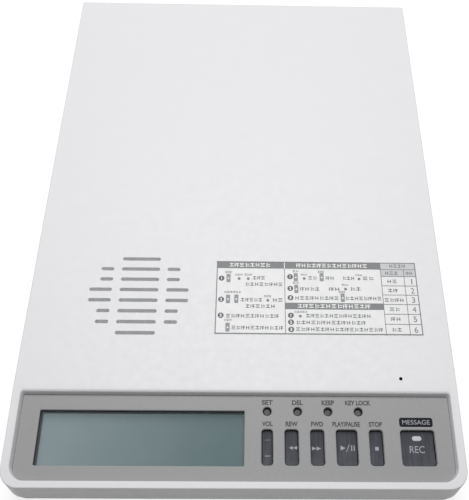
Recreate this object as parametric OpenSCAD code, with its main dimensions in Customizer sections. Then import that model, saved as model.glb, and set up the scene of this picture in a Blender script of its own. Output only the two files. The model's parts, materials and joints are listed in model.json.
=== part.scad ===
// Desk telephone call recorder: a wedge-shaped case with a sunken control panel across its front,
// a speaker grille and a printed guide on its top plate, and its sockets in the rear wall.
// Sizes are in millimetres. X runs to the right, Y to the rear and Z up.
// The origin lies on the desk, below the middle of the case.

/* [Case] */
// Width of the case
body_w = 170; // [164:1:200]
// Depth of the case from front to rear
body_d = 250; // [236:1:300]
// Height of the front top edge above the desk
front_h = 18; // [17.6:0.2:24]
// Slope of the front panel in degrees
panel_slope = 7; // [5:0.5:9]
// Slope of the top plate in degrees
top_slope = 4; // [2:0.5:6]
// Wall thickness of the upper case
wall = 2.2; // [1.8:0.1:2.6]
// Thickness of the floor of the lower case
floor_t = 2.2; // [1.6:0.1:2.6]
// Radius of the front corners in plan
front_corner_r = 8; // [7:0.5:13]
// Radius of the rear corners in plan
rear_corner_r = 1; // [0.6:0.2:4]
// Radius along the rear top edge
rear_edge_r = 2; // [1:0.25:4]
// Radius along the front top edge
front_edge_r = 1.5; // [0.4:0.1:2]
// Height of the seam between the case halves above the desk
seam_h = 6.4; // [6:0.2:7.4]
// Setback of the lower case below the seam
base_inset = 0.8; // [0.6:0.1:2]
// Height of the lip that rises inside the upper case
lip_h = 2.2; // [1.4:0.1:2.4]
// Thickness of that lip
lip_t = 1.2; // [0.9:0.1:1.5]
// Radius of a rubber foot
foot_r = 6; // [4:0.5:9]
// Height of a rubber foot below the case
foot_h = 2; // [1.4:0.1:2.2]
// Distance from the sides of the case to the middle of a foot
foot_inset = 17; // [13:0.5:30]

/* [Panel] */
// Width of the rim beside and behind the sunken panel
rim_w = 3.15; // [2.8:0.05:4]
// Width of the rim in front of the sunken panel
rim_front = 2.65; // [2.3:0.05:4]
// Length of the sunken panel, up the slope
recess_len = 33.05; // [32.5:0.25:40]
// Depth of the panel sheet below the rim
recess_depth = 2.1; // [1.4:0.1:2.6]
// Lean of the side walls of the recess
recess_side_lean = 0.55; // [0:0.05:0.8]
// Lean of the rear wall of the recess
recess_rear_lean = 1.1; // [0:0.1:1.5]
// Radius of the front corners of the recess
recess_corner_r = 5.5; // [3:0.5:8]
// Thickness of the panel sheet
sheet_t = 1; // [0.6:0.1:1.4]
// Thickness of the case floor under the panel sheet
web_t = 1.6; // [1.3:0.1:2]

/* [Display] */
// Distance from the left side of the recess to the display cut-out
lcd_margin = 7.95; // [7.8:0.05:10]
// Width of the display cut-out
lcd_w = 77; // [60:0.25:80]
// Length of the display cut-out, up the slope
lcd_len = 20.4; // [16:0.2:22]
// Distance from the front edge to the display cut-out
lcd_front = 8.45; // [7.6:0.05:9.5]
// Depth of the display glass below the panel sheet
lcd_sunk = 5; // [4.7:0.1:6]
// Thickness of the clear window
window_t = 1.2; // [0.8:0.1:1.5]
// Lap of the clear window behind the panel sheet
window_lap = 1.5; // [1:0.1:2]
// Thickness of the display glass
glass_t = 2.8; // [2:0.1:3.2]
// Lap of the display glass behind its holder
glass_lap = 1.8; // [1.2:0.1:2]
// Wall of the display holder
holder_wall = 1; // [0.8:0.1:1.2]
// Thickness of the backlight plate
backlight_t = 1.1; // [0.8:0.1:1.5]

/* [Keys] */
// Distance from the front edge to the row of keys
key_front = 8.75; // [7.5:0.05:10]
// Length of the key openings, up the slope
key_len = 13.25; // [12.5:0.25:15]
// Width of the volume rocker opening
rocker_w = 4.18; // [4:0.02:5]
// Width of the rewind, forward and stop key openings
bar_key_w = 5.18; // [4.6:0.02:6]
// Width of the play key opening
play_key_w = 8; // [6:0.1:9]
// Width of the record key opening
record_key_w = 12.9; // [11:0.1:14]
// Distance from the record key to the right side of the recess
record_margin = 7.1; // [6.8:0.1:9]
// Gap beside the display and the record key, as a multiple of the gap between keys
wide_gap = 1.475; // [1.2:0.025:1.8]
// Corner radius of the key openings
key_corner_r = 1.2; // [0.4:0.1:1.4]
// Clearance between a key and its opening
key_clear = 0.2; // [0.15:0.05:0.3]
// Depth of the key ends below the panel sheet
key_drop = 1.3; // [0.3:0.1:1.4]
// Radius of the finger dish along the keys
key_dish_r = 45; // [30:1:80]
// Travel of a pressed key or button
key_travel = 0.5; // [0.2:0.05:0.5]
// Lap of a key's flange under the case
flange_lap = 0.8; // [0.5:0.1:0.9]
// Thickness of a key's flange
flange_t = 1; // [0.7:0.1:1.2]
// Length of the post under a flange
post_h = 0.7; // [0.5:0.1:0.9]
// Half angle through which the volume rocker tips
rocker_tilt = 4; // [2:0.5:4]
// Radius of the rocker's trunnion pins
trunnion_r = 0.7; // [0.5:0.05:0.8]
// Running clearance around a trunnion pin
trunnion_clear = 0.05; // [0.02:0.01:0.1]
// Length of the lamp window in the record key
lamp_w = 3.9; // [3:0.1:5]
// Width of the lamp window in the record key
lamp_len = 2.1; // [1.6:0.1:2.6]
// Distance from the front edge to the round buttons
button_row = 28.82; // [28:0.02:29.5]
// Spacing of the round buttons
button_pitch = 11.58; // [9:0.02:12]
// Diameter of the round button holes
button_hole_d = 3.25; // [2.8:0.05:4]
// Depth of the round buttons below the panel sheet
button_drop = 1.2; // [0.4:0.1:1.6]

/* [Switches] */
// Side of a square push switch
switch_w = 6; // [4:0.1:6.4]
// Height of a push switch body
switch_h = 3.5; // [2.5:0.1:3.6]
// Radius of a switch plunger
plunger_r = 1.6; // [1.2:0.1:1.9]
// Clearance around a switch plunger
plunger_clear = 0.1; // [0.05:0.01:0.2]

/* [Top plate] */
// Distance of the speaker from the middle of the case, to the left
speaker_x = 40.8; // [36:0.2:46]
// Distance from the crease to the middle of the speaker
speaker_run = 37.9; // [34:0.1:44]
// Spacing of the grille rows
grille_pitch = 4.83; // [4:0.01:5]
// Width of a grille slot
slot_w = 1.3; // [0.8:0.1:1.8]
// Length of the middle slots
slot_mid = 15.7; // [12:0.1:18]
// Gap between the middle and the side slots
slot_gap = 3.35; // [2:0.05:4]
// Length of the short side slots
slot_short = 5.15; // [4:0.05:6]
// Length of the long side slots
slot_long = 9.05; // [7:0.05:10]
// Distance of the microphone hole from the right side of the case
mic_x = 21.5; // [19:0.5:27]
// Distance from the crease to the microphone hole
mic_run = 2.5; // [2.4:0.1:8]
// Diameter of the microphone hole
mic_hole_d = 1.4; // [0.8:0.1:2]
// Left edge of the guide label, from the middle of the case
label_x0 = -9.15; // [-12:0.05:0]
// Width of the guide label
label_w = 83.55; // [60:0.05:86]
// Distance from the crease to the guide label
label_run = 20.85; // [12:0.05:60]
// Length of the guide label
label_len = 33.25; // [20:0.05:60]
// Thickness of the guide label
label_t = 0.12; // [0.1:0.01:0.3]

/* [Speaker and microphone] */
// Radius of the speaker
speaker_r = 20; // [18:0.5:20.5]
// Thickness of the dust cloth
cloth_t = 0.4; // [0.2:0.1:0.8]
// Thickness of the foam gasket
gasket_t = 1.5; // [1:0.1:2]
// Thickness of the speaker flange
speaker_flange_t = 1; // [0.8:0.1:1.4]
// Depth of the speaker basket below its flange
basket_h = 6.9; // [5:0.1:7.5]
// Height of the speaker magnet
magnet_h = 5.5; // [4:0.1:5.8]
// Radius of the speaker magnet
magnet_r = 10.5; // [8:0.5:12]
// Radius of the microphone capsule
mic_r = 3; // [2:0.1:3.1]
// Height of the microphone capsule
mic_h = 2.7; // [1.5:0.1:3]
// Wall of the rubber microphone boot
boot_wall = 1; // [0.7:0.1:1.1]

/* [Boards] */
// Thickness of the circuit boards
pcb_t = 1.6; // [1:0.1:1.6]
// Height of the posts under the main board
standoff_h = 4.8; // [4.6:0.1:7]
// Gap between the main board and the rear face of the case
board_rear_gap = 6; // [5:0.5:9]
// Radius of a screw shank
screw_r = 1.45; // [1.2:0.05:1.6]
// Radius of a screw head
screw_head_r = 2.9; // [2.5:0.1:3.1]
// Clearance around a screw shank in its pilot hole
screw_clear = 0.05; // [0.03:0.01:0.1]

/* [Sockets] */
// Width of a modular socket
jack_w = 13.6; // [13:0.1:15]
// Height of a modular socket
jack_h = 13.2; // [12.4:0.1:14]
// Depth of a modular socket
jack_d = 15; // [14:0.5:18]
// Spacing of the modular sockets
jack_pitch = 22; // [17:0.5:24]
// Position of the first modular socket
jack_x = -30; // [-40:1:-28]
// Position of the audio socket
audio_x = 38; // [34:1:44]
// Radius of the bore of the audio socket
audio_bore_r = 1.8; // [1.75:0.01:1.9]
// Length of the bore of the audio socket
audio_bore_len = 12; // [10:0.5:14]
// Radius of the hole in the rear wall for the sleeve of the audio plug
audio_hole_r = 4.5; // [4.2:0.1:4.8]
// Position of the power socket
power_x = 58; // [54:1:60]
// Clearance around the sockets in the rear wall
socket_clear = 0.3; // [0.2:0.05:0.5]
// Distance from the rear face to the middle of the memory card
card_run = 65; // [60:1:80]
// Width of the memory card
card_w = 24; // [20:0.5:24]
// Length of the memory card
card_len = 32; // [28:0.5:34]
// Thickness of the memory card
card_t = 2.1; // [1.4:0.1:2.4]
// Clearance around the memory card
card_clear = 0.15; // [0.1:0.05:0.3]

/* [Hidden] */
$fn = 64;
// Overshoot of the cutting solids
over = 1;
// Smallest inside corner radius
least_r = 0.3;
// Clearance between the lip of the lower case and the wall of the upper case
lip_clear = 0.15;
front_y = -body_d / 2;
rear_y = body_d / 2;
crease_v = rim_front + recess_len + rim_w;
crease_y = front_y + crease_v * cos(panel_slope);
crease_z = front_h + crease_v * sin(panel_slope);
// Where the inner faces of the panel and the top plate would meet
fold_y = crease_y + wall * sin((panel_slope + top_slope) / 2) / cos((panel_slope - top_slope) / 2);
// Taller than any point of the case
tall = crease_z + body_d;
floor_z = foot_h + floor_t;
lip_in = wall + lip_clear + lip_t;
// Depth of the feet in their seats
foot_sink = 0.6;
// Bare plate under the case
plate_w = 62;
plate_len = 34;
plate_t = 0.2;
plate_corner_r = 2;
label_corner_r = 0.8;

// Levels in the panel's frame, measured down from the rim
sheet_top = -recess_depth;
web_top = sheet_top - sheet_t;
web_bottom = web_top - web_t;
glass_top = sheet_top - lcd_sunk;
glass_bottom = glass_top - glass_t;
board_top = glass_bottom - backlight_t;
board_bottom = board_top - pcb_t;
switch_top = board_top + switch_h;
key_top = sheet_top - key_drop;
flange_gap = 0.1;
flange_top = web_bottom - flange_gap;
flange_bottom = flange_top - flange_t;
press_level = flange_bottom - post_h;
recess_rear = rim_front + recess_len;
recess_half = body_w / 2 - rim_w;

// The display cut-out and the row of keys
lcd_x0 = -recess_half + lcd_margin;
lcd_x1 = lcd_x0 + lcd_w;
lcd_rear = lcd_front + lcd_len;
glass_clear = 0.1;
holder_lap = glass_lap + glass_clear + holder_wall;
strip_w = 1.6;
strip_gap = 0.5;
key_ws = [rocker_w, bar_key_w, bar_key_w, play_key_w, bar_key_w, record_key_w];
gap_shares = [wide_gap, 1, 1, 1, 1, wide_gap];
ROCKER = 0;
REWIND = 1;
FORWARD = 2;
PLAY = 3;
STOP = 4;
RECORD = 5;
row_room = recess_half - record_margin - lcd_x1 - sum(key_ws, len(key_ws));
key_gap = row_room / sum(gap_shares, len(gap_shares));
key_mid_v = key_front + key_len / 2;
button_r = button_hole_d / 2 - key_clear;
button_x0 = key_x(ROCKER);
// The rocker turns on trunnion pins, held by ears below the case floor
ear_gap = 0.2;
ear_t = 0.8;
ear_half = 1.4;
ear_wall = 0.6;
trunnion_w = web_bottom - trunnion_r - ear_wall;
pin_short = 0.05;
trunnion_len = ear_gap + ear_t - pin_short;
hub_wall = 0.5;
cap_lap = 0.5;
cap_drop = 0.2;
cap_bottom = web_bottom - cap_drop;
rocker_foot = 1.6;
rocker_switch_gap = 1;
rocker_switch_dv = (switch_w + rocker_switch_gap) / 2;
// What a tipped rocker still has free at its ends and above its switches
tip_gap = 0.1;
rocker_end_clear = tip_gap + (key_top - trunnion_w) * sin(rocker_tilt);
rocker_foot_bottom = press_level + tip_gap + (rocker_switch_dv + rocker_foot / 2) * sin(rocker_tilt);
record_switch_in = 1.25;
record_switch_v = key_front + switch_w / 2 + record_switch_in;
plunger_sunk = 0.9;
plunger_spare = 0.3;
// Middle of each switch in the panel's frame, with the radius of what moves in it
switch_spots = concat(
    [for (side = [-1, 1]) [key_x(ROCKER), key_mid_v + side * rocker_switch_dv, plunger_r]],
    [for (i = [REWIND:STOP]) [key_x(i), key_mid_v, plunger_r]],
    [[key_x(RECORD), record_switch_v, plunger_r]],
    [for (i = [0:3]) [button_x(i), button_row, button_r]]
);
lamp_in = 1.7;
lamp_v = key_front + key_len - lamp_len / 2 - lamp_in;
lamp_fit = 0.05;
lamp_foot = 0.6;
led_w = 2.2;
led_r = 1;
led_drop = 0.2;

// The key board and its screw posts
board_corner_r = 1;
hole_clear = 0.2;
key_post_r = 2.2;
key_post_gap = 0.35;
key_post_x = body_w / 2 - lip_in - key_post_r - key_post_gap;
key_board_lap = 1.7;
key_board_half = key_post_x + key_board_lap;
key_board_front = 1.75;
key_board_rear = 2.2;
key_board_v0 = rim_front + key_board_front;
key_board_v1 = recess_rear - key_board_rear;
key_post_in = 4.5;
key_screw_r = 0.9;
key_screw_head_r = 2;
key_screw_head_h = 1.2;
key_screw_len = 5;
key_posts = [
    [-key_post_x, key_board_v0 + key_post_in],
    [-key_post_x, key_board_v1 - key_post_in],
    [key_post_x, key_board_v0 + key_post_in],
    [key_post_x, key_board_v1 - key_post_in],
    [key_x(RECORD), key_board_v1 - key_post_in],
];

// Levels in the top plate's frame, measured down from its surface
cloth_bottom = -wall - cloth_t;
gasket_bottom = cloth_bottom - gasket_t;
speaker_flange_bottom = gasket_bottom - speaker_flange_t;
basket_bottom = speaker_flange_bottom - basket_h;
magnet_bottom = basket_bottom - magnet_h;
speaker_y = crease_y + speaker_run * cos(top_slope);
speaker_post_r = 2.4;
speaker_post_gap = 0.6;
speaker_post_ring = speaker_r + speaker_post_r + speaker_post_gap;
speaker_screw_r = 1.1;
speaker_screw_head_r = 4;
speaker_screw_head_h = 1.2;
speaker_screw_len = 2.9;
speaker_land = 3;
basket_t = 0.8;
cloth_lap = 0.4;
gasket_w = 1.8;
cone_t = 0.5;
cone_depth = 4.3;
surround_w = 1.8;
cap_r = 3.9;
cap_h = 1.5;
coil_r = 6.4;
coil_t = 0.5;
coil_slot = 3;
coil_dip = 2;
coil_gap = 0.5;
grille_sides = [0, slot_short, slot_short, slot_long, slot_long, slot_short, slot_short, 0];
mic_mid = body_w / 2 - mic_x;
boot_top_t = 0.8;
boot_r = mic_r + boot_wall;
boot_lip = 0.3;
boot_bottom = -wall - boot_top_t - mic_h - boot_lip;
collar_t = 1;
collar_lift = 1;

// Case screws
case_screw_in = 9;
case_screw_x = body_w / 2 - case_screw_in;
front_screw_run = 12.4;
rear_screw_run = 32;
case_screw_ys = [crease_y + front_screw_run, rear_y - rear_screw_run];
case_post_r = 3.6;
case_tube_r = 4.5;
case_post_lift = 1.6;
case_post_z = seam_h + case_post_lift;
head_clear = 0.3;
case_screw_len = 10;
case_head_h = 1.8;
case_head_sink = 0.5;
case_seat_z = foot_h + case_head_sink + case_head_h;

// The main board and what stands on it
main_z0 = floor_z + standoff_h;
main_z1 = main_z0 + pcb_t;
board_front_gap = 5.3;
main_front = speaker_y + speaker_post_ring + speaker_post_r + board_front_gap;
main_rear = rear_y - board_rear_gap;
board_side_gap = 6;
tube_gap = 1;
main_half = body_w / 2 - board_side_gap;
main_tab_half = case_screw_x - case_tube_r - tube_gap;
main_shoulder = case_screw_ys[1] - case_tube_r - tube_gap;
standoff_r = 3.2;
board_head_h = 1.6;
board_screw_len = 5.4;
front_post_in = 6;
front_post_run = 7;
rear_post_in = 10;
rear_post_run = 8;
mid_post_run = 76;
standoffs = [
    [-main_half + front_post_in, main_front + front_post_run],
    [main_half - front_post_in, main_front + front_post_run],
    [-main_half + rear_post_in, main_shoulder - rear_post_run],
    [main_half - rear_post_in, main_shoulder - rear_post_run],
    [0, rear_y - mid_post_run],
];
face_in = 0.2;
jack_face = rear_y - face_in;
jack_xs = [for (i = [0:2]) jack_x + i * jack_pitch];
jack_hole_w = 9.9;
jack_hole_h = 6.8;
jack_hole_lift = 4;
jack_hole_z = main_z1 + jack_hole_lift;
jack_back_t = 2.5;
jack_hole_d = jack_d - jack_back_t;
latch_w = 6.3;
latch_h = 2.2;
contact_w = 0.5;
contact_pitch = 1.02;
contact_in = 2;
audio_w = 7;
audio_h = 6.4;
audio_back_t = 1.5;
audio_z = main_z1 + audio_h / 2;
audio_face = rear_y - wall - face_in;
audio_y0 = audio_face - audio_bore_len - audio_back_t;
power_w = 9;
power_h = 11;
power_d = 14.4;
power_lift = 6.5;
power_z = main_z1 + power_lift;
power_hole_r = 3.1;
power_hole_d = 9;
power_pin_r = 1.05;
power_pin_in = 1;
card_y = rear_y - card_run;
card_end_x = body_w / 2 - face_in;
socket_skin = 0.5;
card_z0 = main_z1 + socket_skin + card_clear;
card_z1 = card_z0 + card_t;
socket_wall = 1.6;
socket_back_t = 0.8;
card_push = 1.2;
socket_x0 = card_end_x - card_len - card_push - plunger_spare - socket_back_t;
card_cut = 4;
cell_x = -50;
cell_run = 98;
cell_y = rear_y - cell_run;
cell_r = 10;
cell_h = 3.2;
cell_lift = 1;
cell_wall = 1.6;
cell_wall_h = 2.2;
cell_clear = 0.1;
cell_gate = 6;
// Middle X, distance from the rear face, width, depth and height of each chip
chips = [
    [14, 86, 20, 20, 1.6],
    [-18, 92, 12, 18, 2.2],
    [34, 100, 10, 6, 1.6],
    [30, 62, 14, 10, 2.4],
    [10, 52, 8, 6, 1.6],
];
// Middle X, distance from the rear face, radius and height of each capacitor
capacitors = [
    [58, 34, 5, 14],
    [46, 30, 4, 12],
    [46, 42, 4, 12],
    [-56, 70, 3, 8],
    [-48, 70, 3, 8],
    [22, 34, 3, 8],
];
transformer_x = -28;
transformer_run = 36;
transformer_y = rear_y - transformer_run;
core_size = [19, 9, 15];
coil_size = [12, 17, 12];
coil_lift = 1;
relay_x = -4;
relay_run = 34;
relay_y = rear_y - relay_run;
relay_size = [10, 20, 10.5];

// Cables inside the case, drawn in the side view and as wide as their strands
ribbon_x = 25;
ribbon_w = 16;
ribbon_t = 0.4;
lead_w = 2.6;
lead_t = 1.2;
plug_h = 4;
plug_d = 6;
plug_wall = 2;
key_plug_v = key_board_v1 - key_post_in;
key_plug_h = 2.4;
key_plug_d = 5;
main_plug_in = 1;
main_plug_y = main_front + main_plug_in;
key_plug_rear = key_plug_v + key_plug_d / 2;
key_plug_mid = board_bottom - key_plug_h / 2;
main_plug_exit = [main_plug_y, main_z1 + plug_h / 2];
ribbon_route = [
    on_panel_yz(key_plug_rear, key_plug_mid),
    on_panel_yz(key_plug_rear + 5, key_plug_mid),
    on_panel_yz(key_plug_rear + 10, key_plug_mid - 1),
    main_plug_exit + [-20, -5],
    main_plug_exit + [-12, -4],
    main_plug_exit + [-7, -1],
    main_plug_exit + [-4, 0],
    main_plug_exit,
];
speaker_tag_in = 1;
speaker_tag_t = speaker_run + speaker_r - speaker_tag_in;
speaker_route = [
    on_top_yz(speaker_tag_t, speaker_flange_bottom),
    on_top_yz(speaker_tag_t, speaker_flange_bottom - 2),
    on_top_yz(speaker_tag_t + 2, speaker_flange_bottom - 5),
    main_plug_exit + [-5, 0.6],
    main_plug_exit + [-2.5, 0],
    main_plug_exit,
];
mic_route = [
    on_top_yz(mic_run, boot_bottom),
    on_top_yz(mic_run, boot_bottom - 2),
    on_top_yz(mic_run + 2, boot_bottom - 5),
    on_top_yz(mic_run + 8, boot_bottom - 7),
    main_plug_exit + [-12, -3],
    main_plug_exit + [-7, -1],
    main_plug_exit + [-4, 0],
    main_plug_exit,
];

// Sum of the first n numbers of a list
function sum(v, n) = n <= 0 ? 0 : v[n - 1] + sum(v, n - 1);

// Left side, right side and middle of a key opening
function key_left(i) = lcd_x1 + key_gap * sum(gap_shares, i + 1) + sum(key_ws, i);
function key_right(i) = key_left(i) + key_ws[i];
function key_x(i) = (key_left(i) + key_right(i)) / 2;
function button_x(i) = button_x0 + i * button_pitch;

// Height of the sloping faces at y, set in by a depth
function panel_line(y, depth) = front_h + (y - front_y) * tan(panel_slope) - depth / cos(panel_slope);
function top_line(y, depth) = crease_z + (y - crease_y) * tan(top_slope) - depth / cos(top_slope);

// Y and Z of a point of the panel's frame
function on_panel_yz(v, w) = [
    front_y + v * cos(panel_slope) - w * sin(panel_slope),
    front_h + v * sin(panel_slope) + w * cos(panel_slope),
];

// Y and Z of a point of the top plate's frame
function on_top_yz(t, n) = [
    crease_y + t * cos(top_slope) - n * sin(top_slope),
    crease_z + t * sin(top_slope) + n * cos(top_slope),
];

// Points of an arc
function arc(mid, r, a0, a1, n = 8) = [
    for (i = [0:n]) mid + r * [cos(a0 + (a1 - a0) * i / n), sin(a0 + (a1 - a0) * i / n)]
];

// Outline of a rectangle with one radius at its front corners and one at its rear corners
function round_box(p, q, rf, rr, n = 8) = concat(
    arc([p.x + rf, p.y + rf], rf, 180, 270, n),
    arc([q.x - rf, p.y + rf], rf, 270, 360, n),
    arc([q.x - rr, q.y - rr], rr, 0, 90, n),
    arc([p.x + rr, q.y - rr], rr, 90, 180, n)
);

// Outline of a slot with round ends
function stadium(l, w, n = 8) = concat(
    arc([l / 2 - w / 2, 0], w / 2, -90, 90, n),
    arc([w / 2 - l / 2, 0], w / 2, 90, 270, n)
);

// Outline of a strip of even thickness along a route
function unit(v) = v / norm(v);
function turn_left(v) = [-v.y, v.x];
function heading(p, i) =
    i == 0 ? unit(p[1] - p[0])
    : i == len(p) - 1 ? unit(p[i] - p[i - 1])
    : unit(unit(p[i] - p[i - 1]) + unit(p[i + 1] - p[i]));
function strip(p, t) = concat(
    [for (i = [0:len(p) - 1]) p[i] + turn_left(heading(p, i)) * t / 2],
    [for (i = [len(p) - 1:-1:0]) p[i] - turn_left(heading(p, i)) * t / 2]
);

// Frame of the panel: X across, Y up the slope from the front edge, Z out of the rim
module on_panel() {
    translate([0, front_y, front_h]) rotate([panel_slope, 0, 0]) children();
}

// Frame of the top plate: X across, Y up the slope from the crease, Z out of the plate
module on_top() {
    translate([0, crease_y, crease_z]) rotate([top_slope, 0, 0]) children();
}

// Flat plate from level z0 to level z1
module plate(points, z0, z1) {
    translate([0, 0, z0]) linear_extrude(height = z1 - z0) polygon(points);
}

// Solid with a side view in Y and Z, as wide as w about the middle x
module side_solid(points, x, w) {
    translate([x, 0, 0]) rotate([90, 0, 90]) linear_extrude(height = w, center = true) polygon(points);
}

// Block from one corner to the opposite one
module block(p, q) {
    translate(p) cube(q - p);
}

// Plan of the case, set in from its faces
function plan(inset) = round_box(
    [-body_w / 2 + inset, front_y + inset],
    [body_w / 2 - inset, rear_y - inset],
    max(front_corner_r - inset, least_r),
    max(rear_corner_r - inset, least_r)
);

// Side view of the whole upper case, with its rounded front and rear edges
function case_side() = concat(
    [[front_y, seam_h]],
    [[rear_y, seam_h]],
    arc(
        [rear_y - rear_edge_r, top_line(rear_y - rear_edge_r, rear_edge_r)],
        rear_edge_r, 0, 90 + top_slope
    ),
    [[crease_y, crease_z]],
    arc(
        [front_y + front_edge_r, panel_line(front_y + front_edge_r, front_edge_r)],
        front_edge_r, 90 + panel_slope, 180
    )
);

// Side view of the hollow, lower under the panel than under the top plate
function hollow_side() = [
    [front_y, 0],
    [rear_y, 0],
    [rear_y, top_line(rear_y, wall)],
    [fold_y, top_line(fold_y, wall)],
    [fold_y, panel_line(fold_y, -web_bottom)],
    [front_y, panel_line(front_y, -web_bottom)],
];

module case_block() {
    intersection() {
        plate(plan(0), 0, tall);
        side_solid(case_side(), 0, body_w + 2 * over);
    }
}

module case_hollow() {
    intersection() {
        plate(plan(wall), 0, tall);
        side_solid(hollow_side(), 0, body_w);
    }
}

// Sunken panel: straight corner walls, with leaning side and rear walls
module panel_recess() {
    on_panel() intersection() {
        plate(
            round_box([-recess_half, rim_front], [recess_half, recess_rear], recess_corner_r, least_r),
            sheet_top, over
        );
        translate([0, crease_v / 2, 0]) rotate([90, 0, 0])
            linear_extrude(height = 2 * crease_v, center = true)
                polygon([
                    [-recess_half + recess_side_lean, sheet_top],
                    [recess_half - recess_side_lean, sheet_top],
                    [recess_half, 0],
                    [recess_half, over],
                    [-recess_half, over],
                    [-recess_half, 0],
                ]);
        side_solid([
            [rim_front, sheet_top],
            [recess_rear - recess_rear_lean, sheet_top],
            [recess_rear, 0],
            [recess_rear, over],
            [rim_front, over],
        ], 0, body_w);
    }
}

function sheet_outline(inset) = round_box(
    [-recess_half + recess_side_lean + inset, rim_front + inset],
    [recess_half - recess_side_lean - inset, recess_rear - recess_rear_lean - inset],
    recess_corner_r - recess_side_lean, least_r
);

function lcd_outline(lap) = round_box(
    [lcd_x0 - lap, lcd_front - lap], [lcd_x1 + lap, lcd_rear + lap], least_r, least_r, 2
);

// Outline of a key opening, or of a key that is smaller than it by a clearance
function key_outline(i, gap, end_gap) = round_box(
    [key_left(i) + gap, key_front + end_gap],
    [key_right(i) - gap, key_front + key_len - end_gap],
    key_corner_r, key_corner_r, 4
);

module key_openings(z0, z1) {
    for (i = [0:len(key_ws) - 1]) plate(key_outline(i, 0, 0), z0, z1);
    for (i = [0:3])
        translate([button_x(i), button_row, z0]) cylinder(h = z1 - z0, d = button_hole_d);
}

// Grille of horizontal slots, shorter towards its first and last rows
module grille_slots() {
    rows = len(grille_sides);
    for (i = [0:rows - 1]) {
        row_y = speaker_run + (i - (rows - 1) / 2) * grille_pitch;
        translate([-speaker_x, row_y, 0]) {
            plate(stadium(slot_mid, slot_w), -wall - over, over);
            if (grille_sides[i] > 0)
                for (side = [-1, 1])
                    translate([side * (slot_mid / 2 + slot_gap + grille_sides[i] / 2), 0, 0])
                        plate(stadium(grille_sides[i], slot_w), -wall - over, over);
        }
    }
}

module at_speaker_posts() {
    for (a = [30, 150, 270])
        translate([-speaker_x, speaker_run, 0]) rotate(a) translate([speaker_post_ring, 0, 0]) children();
}

module at_case_screws() {
    for (x = [-case_screw_x, case_screw_x]) for (y = case_screw_ys) translate([x, y, 0]) children();
}

// Ears under the panel floor that hold the rocker's trunnions
module rocker_ears() {
    for (side = [-1, 1]) {
        x = key_x(ROCKER) + side * (rocker_w / 2 + ear_gap + ear_t / 2);
        block(
            [x - ear_t / 2, key_mid_v - ear_half, trunnion_w - trunnion_r - ear_wall],
            [x + ear_t / 2, key_mid_v + ear_half, web_top]
        );
    }
}

// Posts that stand inside the upper case, trimmed to its faces
module top_case_posts() {
    intersection() {
        union() {
            at_case_screws() translate([0, 0, case_post_z]) cylinder(h = tall, r = case_post_r);
            on_panel() {
                for (p = key_posts)
                    translate([p.x, p.y, board_top]) cylinder(h = web_top - board_top, r = key_post_r);
                rocker_ears();
            }
            on_top() {
                at_speaker_posts() translate([0, 0, speaker_flange_bottom])
                    cylinder(h = -speaker_flange_bottom - wall / 2, r = speaker_post_r);
                translate([mic_mid, mic_run, boot_bottom + collar_lift])
                    cylinder(h = -boot_bottom - collar_lift - wall / 2, r = boot_r + socket_clear + collar_t);
            }
        }
        case_block();
    }
}

module rear_openings() {
    for (x = jack_xs)
        block(
            [x - jack_w / 2 - socket_clear, rear_y - wall - over, main_z1 - socket_clear],
            [x + jack_w / 2 + socket_clear, rear_y + over, main_z1 + jack_h + socket_clear]
        );
    block(
        [power_x - power_w / 2 - socket_clear, rear_y - wall - over, main_z1 - socket_clear],
        [power_x + power_w / 2 + socket_clear, rear_y + over, main_z1 + power_h + socket_clear]
    );
    translate([audio_x, rear_y + over, audio_z]) rotate([90, 0, 0])
        cylinder(h = wall + 2 * over, r = audio_hole_r);
}

module card_opening() {
    block(
        [body_w / 2 - wall - over, card_y - card_w / 2 - socket_clear, card_z0 - socket_clear],
        [body_w / 2 + over, card_y + card_w / 2 + socket_clear, card_z1 + socket_clear]
    );
}

module top_case() {
    color("#e6e6e8") difference() {
        union() {
            difference() {
                case_block();
                case_hollow();
            }
            top_case_posts();
        }
        panel_recess();
        on_panel() {
            plate(sheet_outline(0), web_top, sheet_top + over);
            plate(lcd_outline(window_lap + glass_clear), web_bottom - over, web_top + over);
            key_openings(web_bottom - over, web_top + over);
            for (p = key_posts)
                translate([p.x, p.y, board_top - over])
                    cylinder(h = key_screw_len - pcb_t + 2 * over, r = key_screw_r + screw_clear);
            translate([key_x(ROCKER), key_mid_v, trunnion_w]) rotate([0, 90, 0])
                cylinder(h = rocker_w + 4 * ear_t, r = trunnion_r + trunnion_clear, center = true);
        }
        on_top() {
            grille_slots();
            translate([mic_mid, mic_run, -wall - over]) cylinder(h = wall + 2 * over, d = mic_hole_d);
            translate([mic_mid, mic_run, boot_bottom - over])
                cylinder(h = -wall - boot_bottom + over, r = boot_r + socket_clear);
            at_speaker_posts() translate([0, 0, speaker_flange_bottom - over])
                cylinder(h = speaker_screw_len + 2 * over, r = speaker_screw_r + screw_clear);
        }
        at_case_screws() translate([0, 0, case_post_z - over])
            cylinder(h = case_screw_len, r = screw_r + screw_clear);
        rear_openings();
        card_opening();
    }
}

module at_feet() {
    for (x = [-1, 1]) for (y = [-1, 1])
        translate([x * (body_w / 2 - foot_inset), y * (body_d / 2 - foot_inset), 0]) children();
}

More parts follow.
